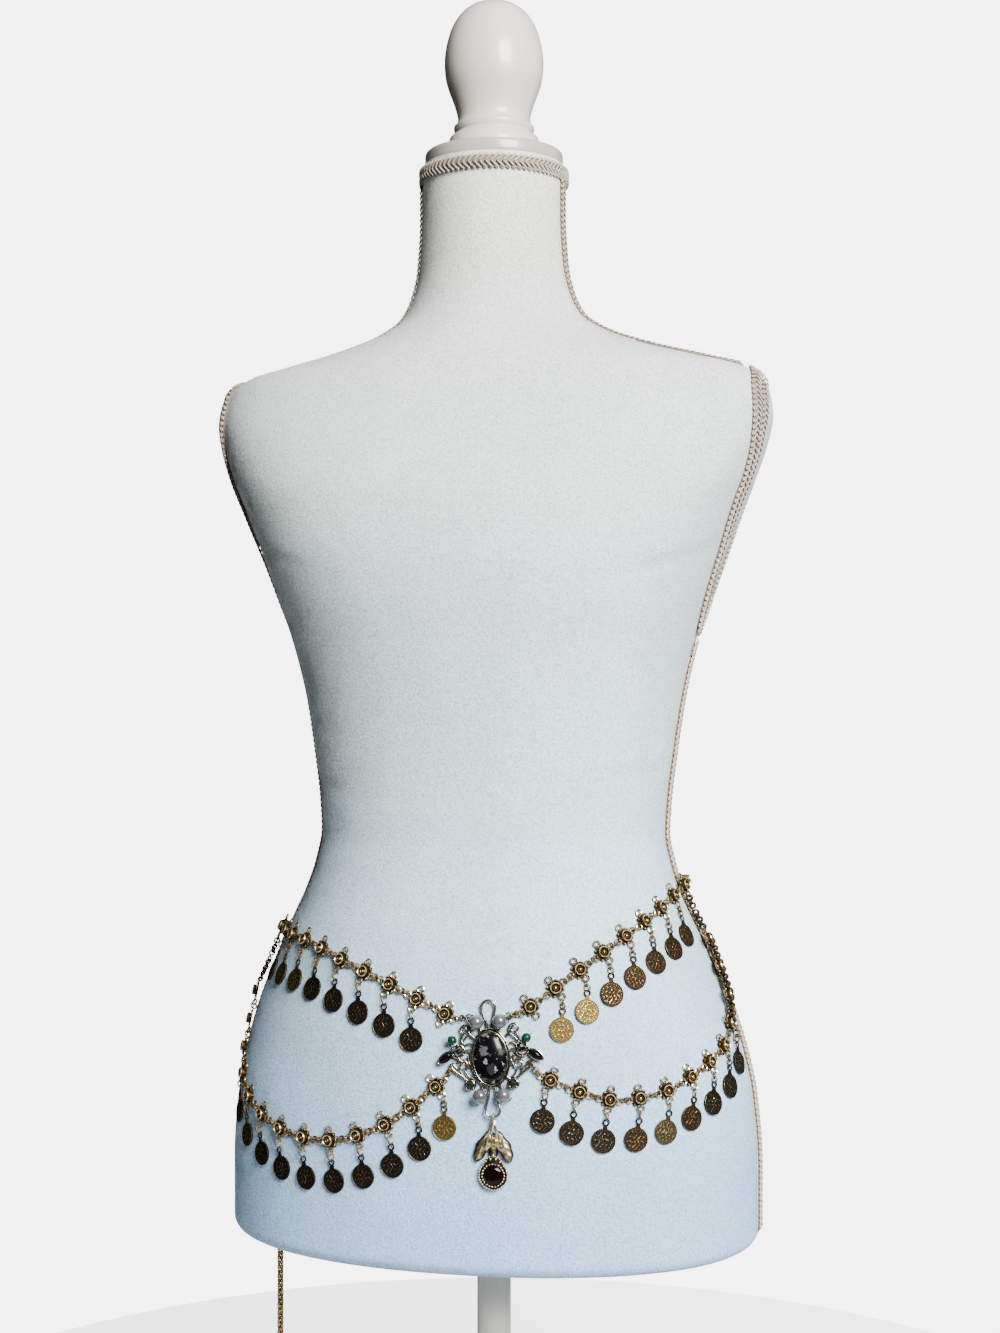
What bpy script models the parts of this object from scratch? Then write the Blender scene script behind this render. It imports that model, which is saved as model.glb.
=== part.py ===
# Coin chain belt on a limbless dress form.
# Metres, +Z up, the form's front faces -Y, origin at the centre of the stand's underside.
# The form stands on a plain pole and base, and the belt rests on its hips:
# two rows of rosette links with hanging coins, a stone brooch with a pendant in front,
# a plain chain round the back, a clasp and a chain tail that hangs at the left.

import math

import bmesh
import bpy
from mathutils import Vector

MM = 0.001
CM = 0.01
GAP = 0.3 * MM

# Stand and form heights
BASE_RADIUS = 130 * MM
BASE_HEIGHT = 18 * MM
POLE_RADIUS = 11 * MM
FORM_LIFT = 180 * MM
NECK_TOP = 69.17
PLATE_RADIUS = 45 * MM
PLATE_BOTTOM = 69.2
PLATE_TOP = 70.1

# Facets round each kind of piece
TORSO_SIDES = 36
TURNED_SIDES = 18
PEARL_SIDES = 8
PEARL_RINGS = 5
BRAID_SIDES = 4
SECTION_STEP = 4.0
FLAT_ANGLE = math.radians(0.5)

# Dress form: height above the underside, half width, front depth, back depth, all in centimetres,
# and the squareness of the section's outline
FORM_SECTIONS = (
    (0.0, 16.55, 10.9, 11.1, 2.15),
    (0.25, 16.95, 11.3, 11.5, 2.15),
    (0.8, 17.2, 11.6, 11.8, 2.15),
    (5.0, 17.2, 11.65, 12.0, 2.15),
    (9.6, 16.85, 11.55, 12.0, 2.12),
    (12.2, 16.3, 11.4, 11.8, 2.1),
    (14.5, 15.6, 11.2, 11.4, 2.1),
    (16.8, 14.7, 10.9, 10.8, 2.08),
    (19.9, 13.35, 10.1, 9.7, 2.05),
    (21.8, 12.45, 9.5, 8.9, 2.05),
    (23.9, 11.7, 8.9, 8.1, 2.05),
    (26.0, 11.3, 8.55, 7.7, 2.05),
    (27.9, 11.4, 8.55, 7.7, 2.05),
    (31.2, 11.8, 8.9, 8.0, 2.08),
    (34.5, 12.3, 9.6, 8.5, 2.12),
    (37.7, 13.0, 10.4, 9.0, 2.2),
    (41.0, 14.0, 11.2, 9.5, 2.3),
    (43.6, 14.9, 11.45, 9.8, 2.4),
    (46.9, 16.2, 11.1, 9.9, 2.5),
    (48.8, 17.0, 10.4, 9.8, 2.6),
    (50.8, 17.7, 9.5, 9.5, 2.6),
    (52.7, 18.1, 8.5, 9.0, 2.5),
    (54.4, 17.8, 7.6, 8.3, 2.4),
    (55.5, 16.6, 7.0, 7.7, 2.3),
    (56.3, 13.7, 6.5, 7.3, 2.15),
    (57.1, 10.6, 6.0, 6.8, 2.05),
    (58.1, 7.7, 5.5, 6.3, 2.0),
    (59.2, 6.0, 5.1, 5.8, 2.0),
    (60.6, 5.25, 4.8, 5.3, 2.0),
    (62.5, 4.8, 4.7, 5.0, 2.0),
    (66.0, 4.6, 4.7, 4.8, 2.0),
    (NECK_TOP, 4.6, 4.7, 4.7, 2.0),
)

# Turned finial: radius and height above the form's underside, centimetres
FINIAL_PROFILE = (
    (2.95, 70.13), (3.0, 70.5), (2.85, 71.1), (2.5, 71.4), (2.62, 71.75), (2.5, 72.0),
    (2.38, 72.4), (2.6, 73.3), (2.9, 74.1), (3.14, 74.9), (3.23, 75.7), (3.2, 76.6),
    (3.03, 77.5), (2.65, 78.5), (2.0, 79.35), (1.0, 79.95),
)
FINIAL_TOP = 80.1

# Armhole braid: height and the depths of its front and back edges, centimetres
ARMHOLE_EDGES = (
    (54.7, -2.3, 2.8),
    (53.2, -3.3, 3.9),
    (51.4, -3.6, 4.3),
    (48.8, -3.2, 4.2),
    (46.6, -2.9, 3.6),
    (43.7, -2.0, 2.6),
    (41.0, -1.4, 1.9),
)
ARMHOLE_TOP = 55.35
ARMHOLE_TIP = 39.0
SEAM_DEPTH = -0.3
SEAM_TOP = 38.2
SEAM_BOTTOM = 0.9
BRAID_WIDTH = 9 * MM
BRAID_THICKNESS = 2.6 * MM
BRAID_LIFT = 0.7 * MM
NECK_BRAID_HEIGHT = 68.45
NECK_SEAM_DEPTH = -0.6
NECK_SEAM_TOP = 68.2
NECK_SEAM_END = 55.64
NECK_SEAM_WIDTH = 7 * MM
NECK_SEAM_THICKNESS = 2.2 * MM
BRAID_RAMP = (13 * MM, 25 * MM)

# Belt links
ROSETTE_RADIUS = 5.2 * MM
ROSETTE_THICKNESS = 1.5 * MM
CUP_RADIUS = 3.4 * MM
CUP_MOUTH = 2.5 * MM
CUP_HEIGHT = 4.4 * MM
LOOP_REACH = 8 * MM
STRIP_WIDTH = 2.4 * MM
STRIP_THICKNESS = 1.0 * MM
COIN_RADIUS = 7.4 * MM
COIN_THICKNESS = 1.4 * MM
COIN_DROP = 24.2 * MM
COIN_INWARD = 0.972
DROP_WIDTH = 1.8 * MM
BELT_LIFT = 0.6 * MM

# Each row's route round the form: angle from the front towards +X in degrees, and height in centimetres.
# The route starts at its first rosette, which is followed by others at the pitch.
# An upper row's last rosette is the junction that its lower row rises to.
ROWS = {
    "row_upper_left": {
        "route": ((-3.0, 15.7), (-20.0, 17.1), (-37.6, 18.25), (-54.8, 19.15), (-71.2, 19.4), (-90.0, 19.3)),
        "pitch": 19.9 * MM, "rosettes": 10, "coins": range(1, 9),
    },
    "row_upper_right": {
        "route": ((23.0, 16.2), (37.6, 18.2), (52.5, 19.95), (67.1, 21.3), (82.0, 22.35), (94.0, 22.7)),
        "pitch": 18.6 * MM, "rosettes": 9, "coins": range(1, 8),
    },
    "row_lower_left": {
        "route": ((-5.2, 11.4), (-19.4, 9.1), (-36.1, 7.7), (-51.1, 7.8), (-63.8, 8.95),
                  (-72.5, 10.6), (-79.0, 12.8), (-85.0, 15.2), (-88.5, 18.0)),
        "pitch": 20.2 * MM, "rosettes": 13, "coins": range(0, 10),
    },
    "row_lower_right": {
        "route": ((28.0, 11.95), (42.3, 10.75), (55.6, 10.95), (67.3, 12.1), (76.5, 13.2),
                  (82.5, 14.7), (85.2, 17.0), (86.8, 19.4), (87.6, 21.6)),
        "pitch": 18.7 * MM, "rosettes": 12, "coins": range(0, 9),
    },
}
ROUTE_STEPS = 40

# Plain chain round the back, clasp and tail, as angle and height
CHAIN_LINK = 8 * MM
CHAIN_WIDE = 3.4 * MM
CHAIN_NARROW = 1.6 * MM
CHAIN_LIFT = CHAIN_NARROW / 2 + 0.1 * MM
CHAIN_SEAT = 2 * GAP
BACK_ROUTE = ((97.0, 22.8), (125.0, 22.6), (150.0, 22.0), (180.0, 21.2), (210.0, 20.5), (240.0, 19.8), (253.6, 19.3))
CLASP_ROUTE = ((-106.15, 19.28), (-99.36, 18.95))
CLASP_WIDTH = 6 * MM
CLASP_THICKNESS = 3 * MM
TAIL_ROUTE = ((-90.0, 19.2), (-96.0, 19.25), (-98.9, 18.9), (-100.8, 17.2), (-103.0, 14.5), (-105.4, 10.5),
              (-106.4, 7.0), (-106.6, 4.0))
TAIL_END = -12.0
TAIL_DROP_RADIUS = 3 * MM

# Brooch: its centre on the form and its roll, then the places of its parts in millimetres from its centre,
# right and up as seen from the front
BROOCH_ANGLE = 11.3
BROOCH_HEIGHT = 13.2
BROOCH_ROLL = 3.5
BEZEL_OUTER = (11.8, 17.4)
BEZEL_INNER = (10.5, 15.9)
BEZEL_DEPTH = 3.8
STONE_DEPTH = 7.4
WIRE_RADIUS = 0.8
FRAME_DEPTH = 1.0
CUP_FACE = 1.6
PEARL_RADIUS = 4.4
PEARL_PLACE = (7.0, 21.7)
CLEAR_STONE_RADIUS = 3.7
CLEAR_STONE_PLACE = (19.2, 4.6)
DARK_STONE_RADIUS = 2.7
DARK_STONE_PLACE = (13.0, -15.3)
BEAD_PLACE = (22.3, 11.3)
BEAD_CUP_RADIUS = 2.2
NAVETTE_PLACE = (27.1, 1.2)
NAVETTE_SIZE = (5.0, 2.5)
NAVETTE_TILT = 35.0
UPPER_CURL = (14.9, 16.8)
LOWER_CURL = (16.2, -3.8)
CURL_RADIUS = 2.5
UPPER_HOLDER = (11.8, 24.2)
LOWER_HOLDER = (23.0, -4.4)
HOLDER_RADIUS = 1.9
TOP_LOOP = ((-2.0, 15.5), (-1.6, 20.5), (-4.0, 28.5), (-3.2, 32.6), (0.0, 34.0), (3.2, 32.6), (4.0, 28.5),
            (1.6, 20.5), (2.0, 15.5))
BOTTOM_LOOP = ((-1.6, -15.5, 1.0), (-2.2, -22.0, 1.4), (-4.2, -29.5, 2.1), (-3.2, -33.4, 2.4), (0.0, -34.4, 2.4),
               (3.2, -33.4, 2.4), (4.2, -29.5, 2.1), (2.2, -22.0, 1.4), (1.6, -15.5, 1.0))

# Pendant: millimetres below its pivot on the brooch's bottom loop
PENDANT_RING_RADIUS = 2.1
PENDANT_RING_WIRE = 0.45
PENDANT_RING_DROP = 0.2
PENDANT_BACK = -2.2
PENDANT_STEM = ((-1.0, -2.2), (-2.2, -11.0), (2.2, -11.0), (1.0, -2.2))
PENDANT_LEAVES = ((-6.6, -16.6, 22.0), (6.6, -16.6, -22.0), (-2.9, -14.6, 9.0), (2.9, -14.6, -9.0))
LEAF_SIZE = (3.4, 8.4)
PENDANT_BEZEL_CENTRE = -34.6
PENDANT_BEZEL_RADIUS = 8.4
PENDANT_BEZEL_TOP = -23.4
PENDANT_RIM = (7.5, 6.3)
PENDANT_STONE_RADIUS = 5.5


def clear_scene():
    for item in list(bpy.data.objects):
        bpy.data.objects.remove(item, do_unlink=True)


def make_material(name, colour, roughness, metallic=0.0):
    material = bpy.data.materials.new(name)
    material.use_nodes = True
    shader = material.node_tree.nodes["Principled BSDF"]
    shader.inputs["Base Color"].default_value = (*colour, 1.0)
    shader.inputs["Roughness"].default_value = roughness
    shader.inputs["Metallic"].default_value = metallic
    return material


# Form surface

def smooth_slopes(rows, column):
    """Slopes that keep a table's column free of overshoot between its rows."""
    steps = [rows[i + 1][0] - rows[i][0] for i in range(len(rows) - 1)]
    rises = [(rows[i + 1][column] - rows[i][column]) / steps[i] for i in range(len(steps))]
    slopes = [rises[0]]
    for i in range(1, len(rises)):
        if rises[i - 1] * rises[i] <= 0:
            slopes.append(0.0)
        else:
            before = 2 * steps[i] + steps[i - 1]
            after = steps[i] + 2 * steps[i - 1]
            slopes.append((before + after) / (before / rises[i - 1] + after / rises[i]))
    slopes.append(rises[-1])
    return slopes


SECTION_SLOPES = {column: smooth_slopes(FORM_SECTIONS, column) for column in range(1, 5)}


def section_at(height):
    """Half width, front depth, back depth and squareness of the form at a height in centimetres."""
    height = min(max(height, FORM_SECTIONS[0][0]), FORM_SECTIONS[-1][0])
    index = 0
    while index < len(FORM_SECTIONS) - 2 and height > FORM_SECTIONS[index + 1][0]:
        index += 1
    low, high = FORM_SECTIONS[index], FORM_SECTIONS[index + 1]
    step = high[0] - low[0]
    t = (height - low[0]) / step
    values = []
    for column in range(1, 5):
        slopes = SECTION_SLOPES[column]
        values.append((1 + 2 * t) * (1 - t) ** 2 * low[column] + t * (1 - t) ** 2 * step * slopes[index]
                      + t * t * (3 - 2 * t) * high[column] + t * t * (t - 1) * step * slopes[index + 1])
    return values


def form_point(angle, height):
    """Point of the form's surface at an angle from the front in degrees and a height in centimetres."""
    half_width, front, back, power = section_at(height)
    across, along = math.sin(math.radians(angle)), math.cos(math.radians(angle))
    depth = front if along > 0 else back
    reach = (abs(across / half_width) ** power + abs(along / depth) ** power) ** (-1 / power)
    return Vector((reach * across * CM, -reach * along * CM, FORM_LIFT + height * CM))


def form_normal(angle, height):
    """Outward normal of the form's surface."""
    small = 0.4
    around = form_point(angle + small, height) - form_point(angle - small, height)
    upward = form_point(angle, height + small / 2) - form_point(angle, height - small / 2)
    return around.cross(upward).normalized()


def side_angle(side, depth, height):
    """Angle of the surface point at a depth in centimetres (towards +Y) on one side of the form."""
    half_width, front, back, power = section_at(height)
    reach = front if depth < 0 else back
    width = half_width * (1 - abs(depth / reach) ** power) ** (1 / power)
    return math.degrees(math.atan2(side * width, -depth))


def lifted(angle, height, lift):
    return form_point(angle, height) + form_normal(angle, height) * lift


def belt_point(angle, height, lift=0.0):
    """Point where the belt rests: on the form, or up on the side braid where it crosses that."""
    point = form_point(angle, height)
    away = abs(point.y - SEAM_DEPTH * CM)
    t = min(max((away - BRAID_RAMP[0]) / (BRAID_RAMP[1] - BRAID_RAMP[0]), 0.0), 1.0)
    step = 1 - t * t * (3 - 2 * t)
    return point + form_normal(angle, height) * (BELT_LIFT + lift + (BRAID_LIFT + BRAID_THICKNESS) * step)


# Curves through a few points

def curve_through(points, steps, closed=False):
    """Catmull-Rom curve through points given as tuples."""
    count = len(points)
    spans = count if closed else count - 1
    curve = []
    for span in range(spans):
        if closed:
            p0, p1, p2, p3 = (points[(span + k) % count] for k in (-1, 0, 1, 2))
        else:
            p1, p2 = points[span], points[span + 1]
            p0 = points[span - 1] if span > 0 else tuple(2 * a - b for a, b in zip(p1, p2))
            p3 = points[span + 2] if span + 2 < count else tuple(2 * b - a for a, b in zip(p1, p2))
        for k in range(steps):
            t = k / steps
            curve.append(tuple(
                0.5 * (2 * b + (c - a) * t + (2 * a - 5 * b + 4 * c - d) * t * t + (3 * b - a - 3 * c + d) * t ** 3)
                for a, b, c, d in zip(p0, p1, p2, p3)))
    if not closed:
        curve.append(tuple(points[-1]))
    return curve


def route_length(route):
    points = [belt_point(*place) for place in curve_through(route, ROUTE_STEPS)]
    return sum((after - before).length for before, after in zip(points, points[1:]))


def places_along(route, pitch, count):
    """Angle and height at equal distances along a route on the form."""
    fine = curve_through(route, ROUTE_STEPS)
    places = [fine[0]]
    travelled, wanted = 0.0, pitch
    before = belt_point(*fine[0])
    for place, following in zip(fine, fine[1:]):
        after = belt_point(*following)
        step = (after - before).length
        while travelled + step >= wanted and len(places) < count:
            t = (wanted - travelled) / step
            places.append(tuple(a + (b - a) * t for a, b in zip(place, following)))
            wanted += pitch
        travelled += step
        before = after
    return places


def chain_places(route):
    """Places of a chain's links, spaced so that the last one is at the route's end."""
    length = route_length(route)
    count = round(length / CHAIN_LINK)
    return places_along(route, length / count, count) + [route[-1]]


# Closed shells, each a list of points and a list of faces

def loft(rings, closed=False):
    """Closed shell through rings of equal size, capped at its ends unless it closes on itself."""
    size = len(rings[0])
    points = [point for ring in rings for point in ring]
    faces = []
    spans = len(rings) if closed else len(rings) - 1
    for row in range(spans):
        low = row * size
        high = ((row + 1) % len(rings)) * size
        for i in range(size):
            j = (i + 1) % size
            faces.append((low + i, low + j, high + j, high + i))
    if not closed:
        faces.append(tuple(reversed(range(size))))
        faces.append(tuple(range(len(points) - size, len(points))))
    return points, faces


def strip(centres, normals, width, thickness, sides=4, closed=False):
    """Flat band or round wire that follows points, with its flat side across the normals."""
    rings = []
    for i, (centre, normal) in enumerate(zip(centres, normals)):
        if closed:
            along = centres[(i + 1) % len(centres)] - centres[i - 1]
        else:
            along = centres[min(i + 1, len(centres) - 1)] - centres[max(i - 1, 0)]
        across = along.cross(normal).normalized()
        up = across.cross(along).normalized()
        ring = []
        for k in range(sides):
            turn = 2 * math.pi * (k + 0.5) / sides
            stretch = math.cos(math.pi / sides) if sides == 4 else 1.0
            ring.append(centre + across * (width / 2 * math.cos(turn) / stretch)
                        + up * (thickness / 2 * math.sin(turn) / stretch))
        rings.append(ring)
    return loft(rings, closed)


class Place:
    """Local frame on the form: right, up and outward, with lengths in millimetres."""

    def __init__(self, origin, right, up):
        self.origin = origin
        self.out = right.cross(up).normalized()
        self.right = right.normalized()
        self.up = self.out.cross(self.right).normalized()

    def at(self, x, y, out=0.0):
        return self.origin + (self.right * x + self.up * y + self.out * out) * MM

    def prism(self, outline, low, high, inset=1.0):
        """Solid over an outline, between two distances from the form, its outer face scaled by inset."""
        centre_x = sum(x for x, _ in outline) / len(outline)
        centre_y = sum(y for _, y in outline) / len(outline)
        bottom = [self.at(x, y, low) for x, y in outline]
        top = [self.at(centre_x + (x - centre_x) * inset, centre_y + (y - centre_y) * inset, high)
               for x, y in outline]
        return loft([bottom, top])

    def wire(self, points, radius=WIRE_RADIUS, depth=FRAME_DEPTH, closed=False, sides=4):
        centres = [self.at(point[0], point[1], point[2] if len(point) > 2 else depth) for point in points]
        normals = [self.out] * len(points)
        return strip(centres, normals, 2 * radius * MM, 2 * radius * MM, sides, closed)


def round_outline(x, y, radius, sides, stretch=1.0, turn=0.0):
    """Points of a circle or, stretched along Y, an ellipse."""
    points = []
    for k in range(sides):
        angle = 2 * math.pi * (k + turn) / sides
        points.append((x + radius * math.cos(angle), y + radius * stretch * math.sin(angle)))
    return points


def turned(profile, sides, centre=(0.0, 0.0)):
    """Shell of rings with the given radii and heights round a vertical line."""
    rings = []
    for radius, height in profile:
        rings.append([Vector((centre[0] + radius * math.cos(2 * math.pi * k / sides),
                              centre[1] + radius * math.sin(2 * math.pi * k / sides), height))
                      for k in range(sides)])
    return loft(rings)


def add_solid(name, shell, material, smooth_angle=40.0):
    """One closed shell as an object."""
    mesh = bpy.data.meshes.new(name)
    points, faces = shell
    mesh.from_pydata([tuple(point) for point in points], [], faces)
    body = bmesh.new()
    body.from_mesh(mesh)
    bmesh.ops.recalc_face_normals(body, faces=body.faces)
    bmesh.ops.triangulate(body, faces=body.faces)
    body.to_mesh(mesh)
    body.free()
    mesh.shade_smooth()
    mesh.set_sharp_from_angle(angle=math.radians(smooth_angle))
    mesh.materials.append(material)
    solid = bpy.data.objects.new(name, mesh)
    bpy.context.scene.collection.objects.link(solid)
    return solid


def shells_together(shells):
    points, faces = [], []
    for shell_points, shell_faces in shells:
        start = len(points)
        points.extend(shell_points)
        faces.extend(tuple(start + i for i in face) for face in shell_faces)
    return points, faces


def add_fused(name, shells, material):
    """Overlapping shells soldered into one body by a union."""
    base = add_solid(name + "_raw", shells_together(shells[1:]), material)
    tool = add_solid(name + "_tool", shells[0], material)
    union = base.modifiers.new("fuse", "BOOLEAN")
    union.operation = "UNION"
    union.solver = "EXACT"
    union.use_self = True
    union.object = tool
    graph = bpy.context.evaluated_depsgraph_get()
    mesh = bpy.data.meshes.new_from_object(base.evaluated_get(graph))
    for helper in (base, tool):
        bpy.data.objects.remove(helper, do_unlink=True)
    body = bmesh.new()
    body.from_mesh(mesh)
    bmesh.ops.remove_doubles(body, verts=body.verts, dist=0.00002)
    bmesh.ops.dissolve_degenerate(body, edges=body.edges, dist=0.00002)
    bmesh.ops.dissolve_limit(body, angle_limit=FLAT_ANGLE, verts=body.verts, edges=body.edges)
    bmesh.ops.triangulate(body, faces=body.faces)
    body.to_mesh(mesh)
    body.free()
    mesh.name = name
    mesh.set_sharp_from_angle(angle=math.radians(40))
    solid = bpy.data.objects.new(name, mesh)
    bpy.context.scene.collection.objects.link(solid)
    return solid


# Dress form and stand

def form_heights():
    """The table's heights, with one more in each tall stretch."""
    heights = []
    for low, high in zip(FORM_SECTIONS, FORM_SECTIONS[1:]):
        heights.append(low[0])
        if high[0] - low[0] > SECTION_STEP:
            heights.append((low[0] + high[0]) / 2)
    heights.append(FORM_SECTIONS[-1][0])
    return heights


def build_torso(material):
    rings = []
    for height in form_heights():
        rings.append([form_point(360 * k / TORSO_SIDES, height) for k in range(TORSO_SIDES)])
    return add_solid("form_torso", loft(rings), material, 60)


def braid_band(angles_and_heights, closed, width=BRAID_WIDTH, thickness=BRAID_THICKNESS):
    centres = [lifted(angle, height, BRAID_LIFT + BRAID_THICKNESS / 2) for angle, height in angles_and_heights]
    normals = [form_normal(angle, height) for angle, height in angles_and_heights]
    return strip(centres, normals, width, thickness, BRAID_SIDES, closed)


def build_armhole_braid(name, side, material):
    front = [(height, depth) for height, depth, _ in ARMHOLE_EDGES]
    back = [(height, depth) for height, _, depth in reversed(ARMHOLE_EDGES)]
    corners = [(ARMHOLE_TOP, 0.3)] + front + [(ARMHOLE_TIP, SEAM_DEPTH)] + back
    loop = curve_through(corners, 2, closed=True)
    places = [(side_angle(side, depth, height), height) for height, depth in loop]
    return add_solid(name, braid_band(places, True), material, 60)


def build_side_braid(name, side, material):
    steps = 26
    places = []
    for k in range(steps + 1):
        height = SEAM_BOTTOM + (SEAM_TOP - SEAM_BOTTOM) * k / steps
        places.append((side_angle(side, SEAM_DEPTH, height), height))
    return add_solid(name, braid_band(places, False), material, 60)


def build_neck_braid(material):
    """Braid round the neck, with a narrower band down each side of it and along the shoulder."""
    steps = 24
    bands = [braid_band([(360 * k / steps, NECK_BRAID_HEIGHT) for k in range(steps)], True)]
    heights = [height for height in reversed(form_heights()) if NECK_SEAM_END < height < NECK_SEAM_TOP]
    heights = [NECK_SEAM_TOP] + heights + [NECK_SEAM_END]
    for side in (-1, 1):
        places = [(side_angle(side, NECK_SEAM_DEPTH, height), height) for height in heights]
        bands.append(braid_band(places, False, NECK_SEAM_WIDTH, NECK_SEAM_THICKNESS))
    return add_fused("form_neck_braid", bands, material)


def build_form(velvet, braid, paint):
    build_torso(velvet)
    for side, word in ((-1, "left"), (1, "right")):
        build_armhole_braid("form_armhole_braid_" + word, side, braid)
        build_side_braid("form_side_braid_" + word, side, braid)
    build_neck_braid(braid)
    low, high = FORM_LIFT + PLATE_BOTTOM * CM, FORM_LIFT + PLATE_TOP * CM
    edge = 2 * MM
    plate = ((PLATE_RADIUS - edge, low), (PLATE_RADIUS, low + edge), (PLATE_RADIUS, high - edge),
             (PLATE_RADIUS - edge, high))
    add_solid("form_neck_plate", turned(plate, TURNED_SIDES), paint)
    finial = [(radius * CM, FORM_LIFT + height * CM) for radius, height in FINIAL_PROFILE]
    finial.append((2 * MM, FORM_LIFT + FINIAL_TOP * CM))
    add_solid("form_finial", turned(finial, TURNED_SIDES), paint, 60)


def build_stand(paint):
    edge = 4 * MM
    base = ((BASE_RADIUS - edge / 4, 0.0), (BASE_RADIUS, edge), (BASE_RADIUS - edge, BASE_HEIGHT - edge),
            (BASE_RADIUS - 3 * edge, BASE_HEIGHT), )
    add_solid("stand_base", turned(base, 2 * TURNED_SIDES), paint)
    pole = ((POLE_RADIUS, BASE_HEIGHT + GAP), (POLE_RADIUS, FORM_LIFT - GAP))
    add_solid("stand_pole", turned(pole, TURNED_SIDES), paint)


# Belt rows

def link_frame(places, index):
    """Frame of a rosette: right along the row, outward from the form."""
    angle, height = places[index]
    before = belt_point(*places[max(index - 1, 0)])
    after = belt_point(*places[min(index + 1, len(places) - 1)])
    normal = form_normal(angle, height)
    along = (after - before).normalized()
    if along.dot(Vector((math.cos(math.radians(angle)), math.sin(math.radians(angle)), 0.0))) < -0.2:
        along = -along
    up = normal.cross(along)
    return Place(belt_point(angle, height), along, up)


def angle_of(point):
    return math.degrees(math.atan2(point.x, -point.y))


def coin_frame(link):
    """Frame at a coin's centre, below its link's lower loop."""
    loop = link.at(0, -LOOP_REACH / MM)
    angle = angle_of(loop) * COIN_INWARD
    height = (link.origin.z - FORM_LIFT - COIN_DROP) / CM
    normal = form_normal(angle, height)
    centre = belt_point(angle, height)
    up = (loop - centre).normalized()
    return Place(centre, up.cross(normal), up)


def rosette_shell(link):
    """Petal disc with its raised cup."""
    rows = ((ROSETTE_RADIUS, 0.0), (ROSETTE_RADIUS, ROSETTE_THICKNESS), (CUP_RADIUS, ROSETTE_THICKNESS * 1.2),
            (CUP_MOUTH, CUP_HEIGHT))
    return loft([[link.at(x, y, out / MM) for x, y in round_outline(0, 0, radius / MM, 8, turn=0.5)]
                 for radius, out in rows])


def link_bar(link, reach, target=None):
    """Loop bar out of a rosette's rim, upwards or down to its coin."""
    middle = ROSETTE_THICKNESS / MM / 2
    rim = math.copysign(ROSETTE_RADIUS / MM - 0.9, reach)
    centres = [link.at(0, rim, middle), link.at(0, reach, middle)]
    normals = [link.out, link.out]
    if target:
        centres.append(target.at(0, COIN_RADIUS / MM * 0.86, COIN_THICKNESS / MM / 2))
        normals.append(target.out)
    return strip(centres, normals, DROP_WIDTH, STRIP_THICKNESS)


def coin_shell(coin):
    return coin.prism(round_outline(0, 0, COIN_RADIUS / MM, 12, turn=0.5), 0.1, COIN_THICKNESS / MM)


def connecting_bar(start, end, normal):
    return strip([start, end], [normal, normal], STRIP_WIDTH, STRIP_THICKNESS)


def row_links(row):
    places = places_along(row["route"], row["pitch"], row["rosettes"])
    return [link_frame(places, index) for index in range(len(places))]


def row_end(name):
    """Outer loop of a row's last rosette, and its lower loop."""
    last = row_links(ROWS[name])[-1]
    side = -1 if "left" in name else 1
    middle = ROSETTE_THICKNESS / MM / 2
    return last.at(side * LOOP_REACH / MM, 0, middle), last.at(0, -LOOP_REACH / MM, middle)


def build_row(name, row, brooch, metal):
    links = row_links(row)
    middle, rim = ROSETTE_THICKNESS / MM / 2, ROSETTE_RADIUS / MM - 0.9
    side = -1 if "left" in name else 1
    inner = [link.at(-side * rim, 0, middle) for link in links]
    outer = [link.at(side * rim, 0, middle) for link in links]
    holder_x, holder_y = UPPER_HOLDER if "upper" in name else LOWER_HOLDER
    holder = brooch.at(side * holder_x, holder_y, FRAME_DEPTH)
    start = holder + (inner[0] - holder).normalized() * ((HOLDER_RADIUS + WIRE_RADIUS) * MM + GAP)
    shells = [connecting_bar(start, inner[0], links[0].out)]
    for index in range(len(links) - 1):
        shells.append(connecting_bar(outer[index], inner[index + 1], links[index].out))
    last = links[-1]
    ending = last.at(side * LOOP_REACH / MM, 0, middle)
    if "lower" in name:
        junction = row_end(name.replace("lower", "upper"))[1]
        ending = junction + (outer[-1] - junction).normalized() * 2 * GAP
    shells.append(connecting_bar(outer[-1], ending, last.out))
    for index, link in enumerate(links):
        shells.append(rosette_shell(link))
        shells.append(link_bar(link, LOOP_REACH / MM))
        coin = coin_frame(link) if index in row["coins"] else None
        shells.append(link_bar(link, -LOOP_REACH / MM, coin))
        if coin:
            shells.append(coin_shell(coin))
    return add_fused(name, shells, metal)


# Back chain, clasp and tail

def chain_strip(points, normals):
    """Chain strand whose links alternate flat and on edge."""
    rings = []
    for i, (centre, normal) in enumerate(zip(points, normals)):
        along = points[min(i + 1, len(points) - 1)] - points[max(i - 1, 0)]
        across = along.cross(normal).normalized()
        up = across.cross(along).normalized()
        wide, deep = (CHAIN_WIDE, CHAIN_NARROW) if i % 2 else (CHAIN_NARROW, CHAIN_NARROW)
        rings.append([centre + across * wide / 2 * a + up * deep / 2 * b
                      for a, b in ((-1, -1), (1, -1), (1, 1), (-1, 1))])
    return loft(rings)


def chain_from(name, route):
    """Points and normals of a chain that starts just off a row's last loop."""
    start = row_end(name)[0]
    places = chain_places(((angle_of(start), (start.z - FORM_LIFT) / CM), *route))
    points = [belt_point(*place, CHAIN_LIFT) for place in places]
    points[0] = start + (points[1] - start).normalized() * CHAIN_SEAT
    normals = [form_normal(*place) for place in places]
    return points, normals


def build_back_chain(metal):
    points, normals = chain_from("row_upper_right", BACK_ROUTE)
    return add_solid("back_chain", chain_strip(points, normals), metal)


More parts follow.
